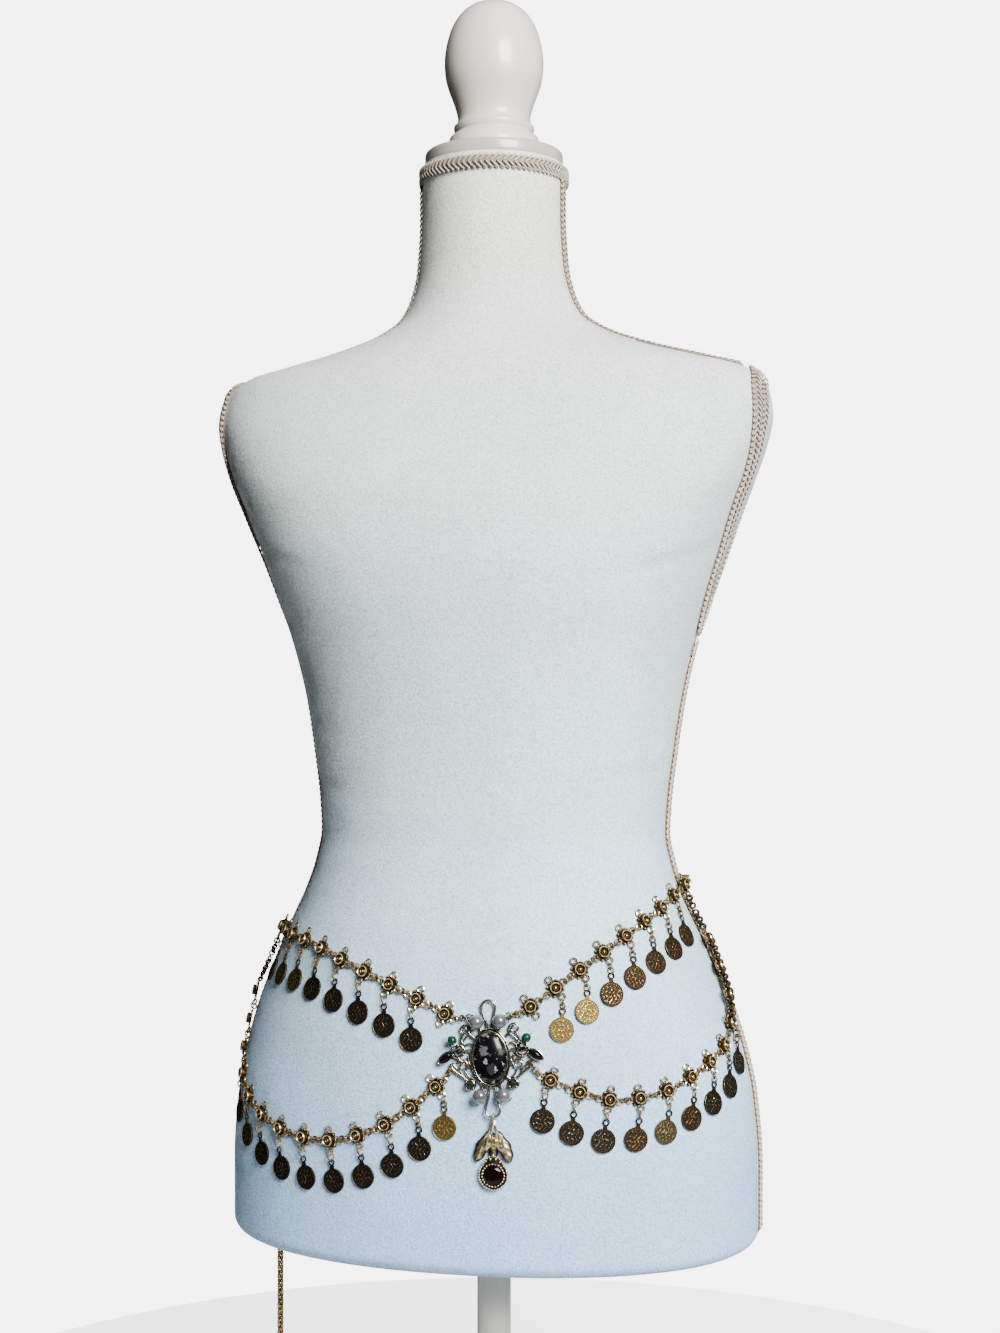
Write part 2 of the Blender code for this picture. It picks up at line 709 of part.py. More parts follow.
def build_clasp(metal):
    ends = [belt_point(*place, CLASP_THICKNESS / 2) for place in CLASP_ROUTE]
    normals = [form_normal(*place) for place in CLASP_ROUTE]
    middle = (ends[0] + ends[1]) / 2
    frame = Place(middle, ends[1] - ends[0], normals[0].cross(ends[1] - ends[0]))
    half = (ends[1] - ends[0]).length / 2 / MM
    wide = CLASP_WIDTH / MM / 2
    outline = ((-half, -0.3 * wide), (-0.5 * half, -wide), (0.4 * half, -wide), (half, -0.4 * wide),
               (half, 0.4 * wide), (0.4 * half, wide), (-0.5 * half, wide), (-half, 0.3 * wide))
    thick = CLASP_THICKNESS / MM / 2
    return add_solid("clasp", frame.prism(outline, -thick, thick, 0.8), metal)


def build_tail(metal):
    points, normals = chain_from("row_upper_left", TAIL_ROUTE)
    last = points[-1]
    end = FORM_LIFT + TAIL_END * CM
    steps = round((last.z - end) / CHAIN_LINK)
    for k in range(1, steps + 1):
        points.append(Vector((last.x, last.y, last.z - (last.z - end) * k / steps)))
        normals.append(Vector((normals[-1].x, normals[-1].y, 0.0)).normalized())
    drop_top = end + 2 * MM
    drop = turned(((0.6 * MM, drop_top - 9 * MM), (TAIL_DROP_RADIUS, drop_top - 6.5 * MM),
                   (TAIL_DROP_RADIUS * 0.8, drop_top - 3 * MM), (0.6 * MM, drop_top)), 8, (last.x, last.y))
    return add_fused("tail_chain", [drop, chain_strip(points, normals)], metal)


# Brooch and pendant

def brooch_place():
    """Frame of the brooch, rolled a little on the form."""
    normal = form_normal(BROOCH_ANGLE, BROOCH_HEIGHT)
    level = Vector((0, 0, 1)).cross(normal).normalized()
    upright = normal.cross(level)
    roll = math.radians(BROOCH_ROLL)
    right = level * math.cos(roll) + upright * math.sin(roll)
    up = upright * math.cos(roll) - level * math.sin(roll)
    return Place(lifted(BROOCH_ANGLE, BROOCH_HEIGHT, BELT_LIFT), right, up)


def oval_rings(brooch, rows, sides=TURNED_SIDES):
    """Rings of an oval, each row its two half axes and its distance from the form."""
    return [[brooch.at(x, y, out) for x, y in round_outline(0, 0, across, sides, along / across)]
            for across, along, out in rows]


def navette_outline(side):
    """Pointed oval with its outer end low, as seen from the front."""
    long, wide = NAVETTE_SIZE
    tilt = math.radians(-side * NAVETTE_TILT)
    points = []
    for u, v in ((-1, 0), (-0.55, -0.75), (0, -1), (0.55, -0.75), (1, 0), (0.55, 0.75), (0, 1), (-0.55, 0.75)):
        x, y = u * long, v * wide
        points.append((side * NAVETTE_PLACE[0] + x * math.cos(tilt) - y * math.sin(tilt),
                       NAVETTE_PLACE[1] + x * math.sin(tilt) + y * math.cos(tilt)))
    return points


def brooch_side_shells(brooch, side):
    """Wires, curls, row holders and stone cups of one side."""
    def place(point):
        return side * point[0], point[1]

    def ring(point, radius):
        return brooch.wire(round_outline(*place(point), radius, 7, turn=0.25), closed=True)

    def cup(point, radius, high=CUP_FACE):
        return brooch.prism(round_outline(*place(point), radius, 6, turn=0.5), 0.1, high, 1.08)

    def wire(*points):
        return brooch.wire([place(point) for point in points], WIRE_RADIUS * 0.9)

    pearl_x, pearl_y = PEARL_PLACE
    clear_x, clear_y = CLEAR_STONE_PLACE
    return [
        cup((pearl_x, pearl_y), 3.0), cup((pearl_x, -pearl_y), 3.0),
        cup(CLEAR_STONE_PLACE, CLEAR_STONE_RADIUS - 0.2), cup(DARK_STONE_PLACE, DARK_STONE_RADIUS, 3.0),
        cup(BEAD_PLACE, BEAD_CUP_RADIUS, 2.6),
        brooch.prism(navette_outline(side), 0.2, CUP_FACE - 0.1, 1.05),
        ring(UPPER_CURL, CURL_RADIUS), ring(LOWER_CURL, CURL_RADIUS),
        ring(UPPER_HOLDER, HOLDER_RADIUS), ring(LOWER_HOLDER, HOLDER_RADIUS),
        wire((4.6, 13.8), (pearl_x, pearl_y)), wire((4.6, -13.8), (pearl_x, -pearl_y)),
        wire((pearl_x + 1, pearl_y + 0.5), (UPPER_HOLDER[0] - 1.6, UPPER_HOLDER[1] - 0.6)),
        wire((8.8, 9.8), (12.6, 15.6)), wire((16.2, 14.8), (clear_x - 0.6, clear_y + 1.0)),
        wire((10.4, 3.0), (clear_x - 2.0, clear_y)), wire((clear_x, clear_y - 1.5), (17.0, -1.8)),
        wire((18.2, -3.9), (21.5, -4.4)), wire((21.6, -5.6), (18.0, -9.6), (13.0, -14.0)),
        wire((8.3, -10.3), (13.0, -15.0)), wire((clear_x + 1.0, clear_y + 2.0), BEAD_PLACE),
        wire((clear_x + 2.0, clear_y - 0.2), (25.4, 2.4)),
    ]


def build_brooch(brooch, metal, stone, pearl, clear, dark):
    outer, inner = BEZEL_OUTER, BEZEL_INNER
    bezel = loft(oval_rings(brooch, (
        (outer[0] * 0.92, outer[1] * 0.95, 0.1), (*outer, 0.9), (*outer, BEZEL_DEPTH - 0.4),
        (outer[0] - 0.6, outer[1] - 0.6, BEZEL_DEPTH), (*inner, BEZEL_DEPTH - 0.5),
        (*inner, CUP_FACE))))
    shells = [bezel, brooch.wire(TOP_LOOP), brooch.wire(BOTTOM_LOOP)]
    for side in (-1, 1):
        shells.extend(brooch_side_shells(brooch, side))
    add_fused("brooch_frame", shells, metal)
    seat = CUP_FACE + GAP / MM
    slim = (inner[0] - 0.3, inner[1] - 0.3)
    add_solid("brooch_stone", loft(oval_rings(brooch, (
        (*slim, seat), (*slim, BEZEL_DEPTH), (slim[0] * 0.88, slim[1] * 0.9, STONE_DEPTH - 1.9),
        (slim[0] * 0.6, slim[1] * 0.62, STONE_DEPTH - 0.7), (slim[0] * 0.1, slim[1] * 0.1, STONE_DEPTH)))), stone, 60)
    for side, word in ((-1, "left"), (1, "right")):
        for level, place in ((1, "upper"), (-1, "lower")):
            centre = (side * PEARL_PLACE[0], level * PEARL_PLACE[1])
            rings = []
            for k in range(1, PEARL_RINGS + 1):
                polar = math.pi * k / (PEARL_RINGS + 1)
                radius = PEARL_RADIUS * math.sin(polar)
                out = seat + PEARL_RADIUS * (math.cos(math.pi / (PEARL_RINGS + 1)) - math.cos(polar))
                rings.append([brooch.at(x, y, out) for x, y in round_outline(*centre, radius, PEARL_SIDES)])
            add_solid("pearl_" + place + "_" + word, loft(rings), pearl, 70)
        centre = (side * CLEAR_STONE_PLACE[0], CLEAR_STONE_PLACE[1])
        rings = []
        for radius, out in ((0.8, 0.0), (1.0, 1.2), (0.75, 2.2), (0.4, 2.6)):
            outline = round_outline(*centre, radius * CLEAR_STONE_RADIUS, 8, turn=0.5)
            rings.append([brooch.at(x, y, seat + out) for x, y in outline])
        add_solid("clear_stone_" + word, loft(rings), clear)
        add_solid("navette_" + word, brooch.prism(navette_outline(side), seat, seat + 2.0, 0.6), dark)


def pendant_place(brooch):
    """Frame at the pendant's pivot, on the wire of the brooch's bottom loop; it hangs plumb."""
    pivot = brooch.at(*BOTTOM_LOOP[4])
    normal = form_normal(BROOCH_ANGLE, BROOCH_HEIGHT - 5.5)
    level = Vector((0, 0, 1)).cross(normal).normalized()
    return Place(pivot, level, normal.cross(level))


def leaf_outline(x, y, tilt):
    """Pointed leaf hanging from its upper end."""
    wide, long = LEAF_SIZE
    turn = math.radians(tilt)
    points = []
    for u, v in ((0, 1), (-0.7, 0.4), (-1, -0.2), (-0.6, -0.8), (0, -1.15), (0.6, -0.8), (1, -0.2), (0.7, 0.4)):
        along, across = v * long, u * wide
        points.append((x + across * math.cos(turn) + along * math.sin(turn),
                       y - across * math.sin(turn) + along * math.cos(turn)))
    return points


def build_pendant(brooch, metal, stone):
    pendant = pendant_place(brooch)
    ring_centres, ring_normals = [], []
    sides = 10
    for k in range(sides):
        turn = 2 * math.pi * k / sides
        ring_centres.append(pendant.at(0, -PENDANT_RING_DROP + PENDANT_RING_RADIUS * math.cos(turn),
                                       PENDANT_RING_RADIUS * math.sin(turn)))
        ring_normals.append(pendant.right)
    wire = 2 * PENDANT_RING_WIRE * MM
    ring = strip(ring_centres, ring_normals, wire, wire, 5, True)
    shells = [ring, pendant.prism(PENDANT_STEM, PENDANT_BACK + 0.6, 0.4)]
    for index, (x, y, tilt) in enumerate(PENDANT_LEAVES):
        low = PENDANT_BACK + 0.2 + 0.15 * index
        shells.append(pendant.prism(leaf_outline(x, y, -tilt), low, low + 2.2, 0.72))
    face = PENDANT_BACK + 1.8
    bezel = round_outline(0, PENDANT_BEZEL_CENTRE, PENDANT_BEZEL_RADIUS, TURNED_SIDES)
    shoulder = PENDANT_BEZEL_CENTRE + PENDANT_BEZEL_RADIUS * 0.75
    right = [point for point in bezel if point[0] >= 0 and point[1] < shoulder]
    left = [point for point in bezel if point[0] < 0 and point[1] < shoulder]
    right.sort(key=lambda point: point[1])
    left.sort(key=lambda point: -point[1])
    outline = right + [(2.4, PENDANT_BEZEL_TOP), (-2.4, PENDANT_BEZEL_TOP)] + left
    shells.append(pendant.prism(outline, PENDANT_BACK, face, 0.97))
    outer, inner = PENDANT_RIM
    rim_rows = ((outer, face - 0.2), (outer, face + 1.1), (inner, face + 1.1), (inner, face - 0.1))
    shells.append(loft([[pendant.at(x, y, out) for x, y in round_outline(0, PENDANT_BEZEL_CENTRE, radius, TURNED_SIDES)]
                        for radius, out in rim_rows], closed=True))
    add_fused("pendant_body", shells, metal)
    seat = face + GAP / MM
    rings = [[pendant.at(x, y, out) for x, y in round_outline(0, PENDANT_BEZEL_CENTRE, radius, 12)]
             for radius, out in ((PENDANT_STONE_RADIUS, seat), (PENDANT_STONE_RADIUS, seat + 1.2),
                                 (PENDANT_STONE_RADIUS * 0.6, seat + 2.6))]
    add_solid("pendant_stone", loft(rings), stone)


def build():
    clear_scene()
    velvet = make_material("velvet", (0.68, 0.71, 0.74), 0.7)
    braid = make_material("braid", (0.60, 0.53, 0.46), 0.55)
    paint = make_material("paint", (0.86, 0.83, 0.76), 0.3)
    gold = make_material("gold", (0.62, 0.44, 0.19), 0.35, 1.0)
    pewter = make_material("pewter", (0.42, 0.38, 0.26), 0.35, 1.0)
    black = make_material("black_stone", (0.015, 0.015, 0.018), 0.08)
    pearl = make_material("pearl", (0.62, 0.58, 0.64), 0.22)
    clear = make_material("clear_stone", (0.45, 0.46, 0.47), 0.06)
    garnet = make_material("garnet", (0.03, 0.005, 0.01), 0.08)
    build_form(velvet, braid, paint)
    build_stand(paint)
    brooch = brooch_place()
    for name, row in ROWS.items():
        build_row(name, row, brooch, gold)
    build_back_chain(gold)
    build_clasp(gold)
    build_tail(gold)
    build_brooch(brooch, pewter, black, pearl, clear, black)
    build_pendant(brooch, gold, garnet)


build()
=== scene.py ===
import random
from math import atan2, cos, degrees, dist, exp, pi, radians, sin

import bmesh
import bpy
from mathutils import Matrix, Vector


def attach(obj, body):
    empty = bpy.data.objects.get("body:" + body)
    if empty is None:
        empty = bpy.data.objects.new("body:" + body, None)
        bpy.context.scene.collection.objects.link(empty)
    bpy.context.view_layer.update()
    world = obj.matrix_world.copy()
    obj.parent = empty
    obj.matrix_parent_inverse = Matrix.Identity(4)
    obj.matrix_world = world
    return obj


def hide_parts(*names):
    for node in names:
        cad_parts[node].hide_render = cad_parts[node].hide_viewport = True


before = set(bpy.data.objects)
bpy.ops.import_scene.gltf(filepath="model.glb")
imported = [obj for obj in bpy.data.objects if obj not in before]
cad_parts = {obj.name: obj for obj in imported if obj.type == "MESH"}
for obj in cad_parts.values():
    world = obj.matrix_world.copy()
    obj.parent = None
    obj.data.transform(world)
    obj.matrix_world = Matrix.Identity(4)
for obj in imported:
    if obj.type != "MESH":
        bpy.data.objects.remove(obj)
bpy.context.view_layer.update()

mm, cm = 0.001, 0.01
formBody, pendantBody = "belt_on_form", "pendant"
print("frame loaded")


def newObject(name, data):
    made = bpy.data.objects.new(name, data)
    bpy.context.scene.collection.objects.link(made)
    return made


# camera at the photo's angle: level, turned a little towards +X

cameraSetup = {"turn": 12.0, "distance": 1.31, "height": 0.533, "sideways": 0.0039, "lens": 54.15,
               "shiftUp": 0.0154}


def makeCamera(setup):
    turn = radians(setup["turn"])
    right = Vector((cos(turn), sin(turn), 0))
    ahead = Vector((-sin(turn), cos(turn), 0))
    camera = newObject("camera", bpy.data.cameras.new("camera"))
    camera.location = right * setup["sideways"] - ahead * setup["distance"] + Vector((0, 0, setup["height"]))
    camera.rotation_euler = (radians(90), 0, turn)
    camera.data.lens, camera.data.shift_y = setup["lens"], setup["shiftUp"]
    bpy.context.scene.camera = camera
    return right, ahead


viewRight, viewAhead = makeCamera(cameraSetup)


# node trees: sockets in expressions, and one method for every other node

def operator(kind, reflected=False):
    def apply(wire, other):
        first, second = (other, wire) if reflected else (wire, other)
        return wire.net.node("ShaderNodeMath", {"operation": kind}, {0: first, 1: second})
    return apply


class Wire:
    def __init__(self, net, socket):
        self.net, self.socket = net, socket

    __add__, __radd__ = operator("ADD"), operator("ADD", True)
    __sub__, __rsub__ = operator("SUBTRACT"), operator("SUBTRACT", True)
    __mul__, __rmul__ = operator("MULTIPLY"), operator("MULTIPLY", True)
    __pow__, __mod__ = operator("POWER"), operator("MODULO")


class Net:
    def __init__(self, tree):
        self.tree = tree

    def plug(self, node, sockets):
        for key, value in sockets.items():
            if isinstance(value, Wire):
                self.tree.links.new(value.socket, node.inputs[key])
            else:
                node.inputs[key].default_value = value

    def node(self, kind, settings=None, sockets=None, out=0):
        made = self.tree.nodes.new(kind)
        for key, value in (settings or {}).items():
            if key != "stops":
                setattr(made, key, value)
                continue
            stops = made.color_ramp.elements
            while len(stops) < len(value):
                stops.new(0.5)
            for stop, (place, shade) in zip(stops, value):
                stop.position, stop.color = place, (*shade, 1.0)
        self.plug(made, sockets or {})
        return Wire(self, made.outputs[out])


class Finish(Net):
    def __init__(self, name, sockets):
        self.material = bpy.data.materials.new(name)
        self.material.use_nodes = True
        super().__init__(self.material.node_tree)
        self.shader = self.tree.nodes["Principled BSDF"]
        self.plug(self.shader, sockets)
        self.place = self.node("ShaderNodeTexCoord", out="Object")

    def noise(self, scale, detail=2.0, roughness=0.5):
        return self.node("ShaderNodeTexNoise", {}, {"Vector": self.place, "Scale": scale, "Detail": detail,
                                                    "Roughness": roughness}, "Fac")

    def ramp(self, value, *stops):
        return self.node("ShaderNodeValToRGB", {"stops": stops}, {"Fac": value}, "Color")

    def fade(self, value, low, high):      # 0 at low, 1 at high, smooth between
        return self.node("ShaderNodeMapRange", {"interpolation_type": "SMOOTHSTEP"},
                         {"Value": value, "From Min": low, "From Max": high})

    def mix(self, share, first, second, blend="MIX"):
        first, second = (shade if isinstance(shade, Wire) else (*shade, 1) for shade in (first, second))
        return self.node("ShaderNodeMix", {"data_type": "RGBA", "blend_type": blend},
                         {0: share, 6: first, 7: second}, 2)

    def height(self):
        return self.node("ShaderNodeSeparateXYZ", {}, {0: self.place}, "Z")

    def stored(self, name):
        return self.node("ShaderNodeAttribute", {"attribute_name": name}, {}, "Fac")

    def bump(self, value, strength, distance):
        sockets = {"Height": value, "Strength": strength, "Distance": distance}
        self.feed(Normal=self.node("ShaderNodeBump", {}, sockets))

    def feed(self, **sockets):
        self.plug(self.shader, {key.replace("_", " "): value for key, value in sockets.items()})


# finishes

def makeVelvet():
    look = Finish("velvet", {"Sheen Weight": 0.05, "Sheen Roughness": 0.4, "Specular IOR Level": 0.15,
                             "Emission Strength": 0.25})
    # painted tint of light: the white cloth is coloured bluer over the hips and warmer at the neck
    level = (look.height() - 0.18) * 1.4      # bluer over the hips, warmer at the neck
    cloth = look.ramp(level, (0.05, (0.42, 0.69, 1.0)), (0.32, (0.57, 0.79, 0.92)),
                      (0.45, (0.69, 0.86, 0.88)), (0.72, (0.70, 0.77, 0.76)), (0.95, (0.80, 0.80, 0.74)))
    speckle = look.noise(760, 3, 0.8)
    brushed = look.noise(14, 3, 0.55)
    grain = look.ramp(speckle, (0.36, (0.55, 0.56, 0.59)), (0.50, (0.84, 0.84, 0.85)),
                      (0.60, (1.0, 1.0, 1.0)))
    # patches of brushed nap whose shimmer is painted into the colour as a painted sheen, slightly darker and
    # lighter
    napShimmer = look.ramp(brushed, (0.35, (0.92, 0.915, 0.93)), (0.65, (1.0, 1.0, 1.0)))
    cloth = look.mix(1.0, look.mix(1.0, cloth, grain, "MULTIPLY"), napShimmer, "MULTIPLY")
    # painted glints: the sparkle mask glows through the emission whether lit or not, and also lowers the
    # roughness
    sparkle = look.fade(look.noise(1150, 2, 0.7), 0.53, 0.62) * look.fade(look.noise(60, 2), 0.3, 0.55)
    glowingGlint = look.mix(sparkle, (0, 0, 0), (0.92, 0.96, 1.0))
    look.feed(Base_Color=cloth, Roughness=0.95 - speckle * 0.25 - sparkle * 0.3, Emission_Color=glowingGlint)
    look.bump(speckle + look.noise(260, 2) * 0.5, 0.6, 0.0008)
    return look.material


def makeGimp():
    look = Finish("gimpBraid", {"Specular IOR Level": 0.4})
    twist = look.noise(1400, 1)
    shade = look.ramp(twist, (0.35, (0.27, 0.215, 0.17)), (0.6, (0.55, 0.475, 0.405)))
    look.feed(Base_Color=shade, Roughness=0.6 - twist * 0.3)
    look.bump(twist, 0.4, 0.0002)
    return look.material


def makeTape(name, shade):
    look = Finish(name, {"Sheen Weight": 0.1})
    weave = look.noise(1800, 1)
    look.feed(Base_Color=look.mix(weave, [part * 0.86 for part in shade], shade),
              Roughness=0.75 - weave * 0.1)
    look.bump(weave, 0.3, 0.0002)
    return look.material


def makePaint(name, shade):
    look = Finish(name, {"Coat Weight": 0.3, "Coat Roughness": 0.12})
    brush = look.noise(9, 3)
    look.feed(Base_Color=look.mix(brush, [part * 0.9 for part in shade], shade),
              Roughness=0.26 + brush * 0.12)
    look.bump(look.noise(60, 2), 0.05, 0.0005)
    return look.material


def makeMetal(name, bright, middle, dark, roughness, patinaShadeWeight=0.5, scale=420, mottle=0.5):
    look = Finish(name, {})
    patina = look.noise(scale, 3, 0.6)
    fine = look.noise(scale * 3.2, 2, 0.6)
    # patina and painted shade stored on the points: darker in recesses, under parts and towards the velvet
    depth = look.stored("tarnish")
    share = look.fade((patina * 0.55 + fine * 0.45 - 0.5) * mottle + 0.55 - depth * patinaShadeWeight, 0.26, 0.62)
    look.feed(Base_Color=look.ramp(share, (0.0, dark), (0.45, middle), (1.0, bright)),
              Metallic=0.85 + share * 0.15, Roughness=roughness + 0.3 - share * 0.3)
    look.bump(fine, 0.3 * mottle, 0.0002)
    return look.material


def makeBlackStone():      # black with grey flakes, large ones in patches and small ones all over
    look = Finish("blackStone", {"Coat Weight": 0.12, "Coat Roughness": 0.05, "Specular IOR Level": 0.2})
    drift = look.node("ShaderNodeTexNoise", {}, {"Vector": look.place, "Scale": 330.0}, "Color")
    drift = look.node("ShaderNodeVectorMath", {"operation": "SCALE"}, {0: drift, "Scale": 0.006})
    warped = look.node("ShaderNodeVectorMath", {"operation": "ADD"}, {0: look.place, 1: drift})

    def cells(scale, channel):
        shades = look.node("ShaderNodeTexVoronoi", {"distance": "CHEBYCHEV"},
                           {"Vector": warped, "Scale": scale}, "Color")
        return look.node("ShaderNodeSeparateColor", {}, {0: shades}, channel)

    large = look.fade(cells(210.0, "Red"), 0.74, 0.76) * look.fade(look.noise(170, 2), 0.44, 0.48)
    flake = large + look.fade(cells(560.0, "Blue"), 0.93, 0.94) * (1 - large)
    flakeShade = look.mix(cells(210.0, "Green") ** 2.0, (0.022, 0.022, 0.026), (0.34, 0.325, 0.35))
    look.feed(Base_Color=look.mix(flake, (0.002, 0.002, 0.0025), flakeShade), Roughness=0.22 + flake * 0.2,
              Metallic=flake * 0.4)
    return look.material


def makeGem(name, shade, glow, roughness=0.06, metallic=0.0, scale=500, gloss=0.3, cut=(0.35, 0.7)):
    look = Finish(name,
                  {"Coat Weight": gloss, "Coat Roughness": 0.04, "Specular IOR Level": 0.5 * gloss + 0.1})
    cloud = look.noise(scale, 2)
    look.feed(Base_Color=look.ramp(cloud, (cut[0], shade), (cut[1], glow)),
              Roughness=roughness + cloud * 0.06, Metallic=metallic + cloud * 0.05)
    return look.material


# each metal's bright, middle and dark shade, roughness, how strongly the stored patina and painted shade
# darken it, noise scale and mottling

metals = {
    "gold": ("antiqueGold", (0.88, 0.70, 0.40), (0.46, 0.325, 0.14), (0.035, 0.021, 0.008), 0.22, 0.7),
    "bronze": ("bronzeCoin", (0.60, 0.49, 0.29), (0.12, 0.088, 0.042), (0.010, 0.007, 0.004),
               0.3, 0.7, 900, 0.7),
    "brownGold": ("brownCoin", (0.64, 0.41, 0.18), (0.20, 0.11, 0.036), (0.016, 0.009, 0.003),
                  0.3, 0.7, 900, 0.7),
    "paleBronze": ("paleCoin", (0.74, 0.60, 0.32), (0.32, 0.25, 0.11), (0.036, 0.025, 0.01),
                   0.28, 0.7, 900, 0.7),
    "brightGold": ("brightCoin", (0.86, 0.71, 0.31), (0.5, 0.38, 0.12), (0.09, 0.06, 0.016),
                   0.28, 0.75, 900, 0.6),
    "pewter": ("pewterGold", (0.5, 0.465, 0.34), (0.145, 0.13, 0.085), (0.01, 0.009, 0.006),
               0.17, 0.62, 420, 0.25),
    "oldGold": ("pendantGold", (0.92, 0.80, 0.53), (0.3, 0.23, 0.11), (0.012, 0.009, 0.005),
                0.2, 0.8, 420, 0.35),
}
finishes = {key: makeMetal(*settings) for key, settings in metals.items()}
finishes |= {
    "velvet": makeVelvet(),
    "gimp": makeGimp(),
    "tape": makeTape("seamTape", (0.66, 0.59, 0.43)),
    # painted shade: the dark backing tape shows as shade in the gaps between the braid's loops
    "braidBacking": makeTape("braidBacking", (0.20, 0.16, 0.125)),
    "paint": makePaint("creamPaint", (0.60, 0.58, 0.535)),
    # painted shade: the neck plate's paint is darker where the finial shades it
    "agedPaint": makePaint("agedPaint", (0.40, 0.375, 0.33)),
    "blackStone": makeBlackStone(),
    "pearl": makeGem("pearl", (0.115, 0.113, 0.132), (0.16, 0.158, 0.178), 0.2, 0.5, 160, 0.8),
    "clear": makeGem("clearStone", (0.012, 0.012, 0.013), (0.55, 0.55, 0.56), 0.05, 0.9, 620, 0.6,
                     (0.47, 0.56)),
    "dark": makeGem("darkStone", (0.003, 0.004, 0.003), (0.03, 0.036, 0.03), 0.05, 0.3, 700),
    "green": makeGem("greenBead", (0.0, 0.017, 0.007), (0.001, 0.05, 0.02), 0.3, 0.0, 500, 0.2),
    "jet": makeGem("jetStone", (0.0015, 0.0015, 0.002), (0.003, 0.003, 0.004), 0.05, gloss=0.05),
    "garnet": makeGem("garnetStone", (0.0012, 0.0006, 0.0008), (0.006, 0.0014, 0.002), 0.05, gloss=0.05),
}
print("finishes ready:", len(finishes))


# shells as (points, faces), and finished pieces

def loft(rings, closed=False):      # through rings of equal size, capped unless it closes on itself
    size = len(rings[0])
    points = [Vector(point) for ring in rings for point in ring]
    faces = []
    for row in range(len(rings) if closed else len(rings) - 1):
        low, high = row * size, ((row + 1) % len(rings)) * size
        for i in range(size):
            j = (i + 1) % size
            faces.append((low + i, low + j, high + j, high + i))
    for start in () if closed else (0, len(points) - size):
        points.append(sum(points[start:start + size], Vector()) / size)
        faces += [(start + i, start + (i + 1) % size, len(points) - 1) for i in range(size)]
    return points, faces


def beside(items, i, closed=False):      # the items before and after one
    if closed:
        return items[i - 1], items[(i + 1) % len(items)]
    return items[max(i - 1, 0)], items[min(i + 1, len(items) - 1)]


def tube(path, radius, normals=None, sides=8, closed=False, flat=1.0):      # wire along points
    rings = []
    turns = [2 * pi * (k + 0.5) / sides for k in range(sides)]
    for i, point in enumerate(path):
        before, after = beside(path, i, closed)
        along = after - before
        across = along.cross(normals[i] if normals else Vector((0, 0, 1))).normalized()
        up = across.cross(along).normalized()
        reach = radius[i] if isinstance(radius, list) else radius
        rings.append([point + across * (reach * cos(a)) + up * (reach * flat * sin(a)) for a in turns])
    return loft(rings, closed)


def together(shells):
    points, faces = [], []
    for shellPoints, shellFaces in shells:
        start = len(points)
        points += shellPoints
        faces += [tuple(start + i for i in face) for face in shellFaces]
    return points, faces


def makeObject(name, shell, finishName, sharp=None):
    mesh = bpy.data.meshes.new(name)
    mesh.from_pydata([tuple(point) for point in shell[0]], [], shell[1])
    mesh.materials.append(finishes[finishName])
    return tidyObject(name, mesh, sharp)


def tidyObject(name, mesh, sharp=None):      # outward faces, smooth shading
    body = bmesh.new()
    body.from_mesh(mesh)
    bmesh.ops.remove_doubles(body, verts=body.verts, dist=1e-7)
    bmesh.ops.recalc_face_normals(body, faces=body.faces)
    body.to_mesh(mesh)
    body.free()
    mesh.shade_smooth()
    if sharp:
        mesh.set_sharp_from_angle(angle=radians(sharp))
    return newObject(name, mesh)


def join(name, pieces):
    first = pieces[0]
    with bpy.context.temp_override(active_object=first, selected_editable_objects=pieces):
        bpy.ops.object.join()
    first.name = first.data.name = name
    return first


def settle(piece, slot, *nodes, body=formBody):
    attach(piece, body)
    if nodes:
        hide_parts(*nodes)


# places with a right, an up and an outward direction; lengths in millimetres

class Spot:
    def __init__(self, origin, right, up):
        self.origin = origin
        self.out = right.cross(up).normalized()
        self.right = right.normalized()
        self.up = self.out.cross(self.right).normalized()

    def at(self, x, y, out=0.0):
        return self.origin + (self.right * x + self.up * y + self.out * out) * mm

    def turn(self):
        return Matrix((self.right, self.up, self.out)).transposed().to_quaternion()

    def tube(self, points, radius, depth=0.0, sides=8, closed=False, flat=1.0):
        path = [self.at(*p[:2], p[2] if len(p) > 2 else depth) for p in points]
        scaled = [r * mm for r in radius] if isinstance(radius, list) else radius * mm
        return tube(path, scaled, [self.out] * len(path), sides, closed, flat)

    def rings(self, outlines):      # each an outline of (x, y) and its distance out
        return loft([[self.at(x, y, out) for x, y in outline] for outline, out in outlines])

    def facing(self, x, y, out, turn=0.0):      # a spot of its own on this one, turned about its outward line
        right = self.right * cos(turn) + self.up * sin(turn)
        up = self.up * cos(turn) - self.right * sin(turn)
        return Spot(self.at(x, y, out), right, up)


localSpot = Spot(Vector(), Vector((1, 0, 0)), Vector((0, 1, 0)))


def oval(x, y, across, along=None, sides=24, turn=0.0):      # a circle unless along is given
    along = along or across
    steps = [2 * pi * (k + turn) / sides for k in range(sides)]
    return [(x + across * cos(a), y + along * sin(a)) for a in steps]


# Geometry Nodes: small shapes stamped on points that carry their own turn and size

pointLayers = (("turn", "QUATERNION"), ("size", "FLOAT"))


def newTree(name, sockets):
    tree = bpy.data.node_groups.new(name, "GeometryNodeTree")
    for label, kind in (("Geometry", "Geometry"), *sockets, ("Finish", "Material")):
        tree.interface.new_socket(label, in_out="INPUT", socket_type="NodeSocket" + kind)
    tree.interface.new_socket("Geometry", in_out="OUTPUT", socket_type="NodeSocketGeometry")
    net = Net(tree)
    inlet = tree.nodes.new("NodeGroupInput")
    return net, {socket.name: Wire(net, socket) for socket in inlet.outputs if socket.name}


def closeTree(net, shape, finishWire):
    realized = net.node("GeometryNodeRealizeInstances", {}, {"Geometry": shape})
    dressed = net.node("GeometryNodeSetMaterial", {}, {"Geometry": realized, "Material": finishWire})
    net.plug(net.tree.nodes.new("NodeGroupOutput"), {"Geometry": dressed})
    return net.tree


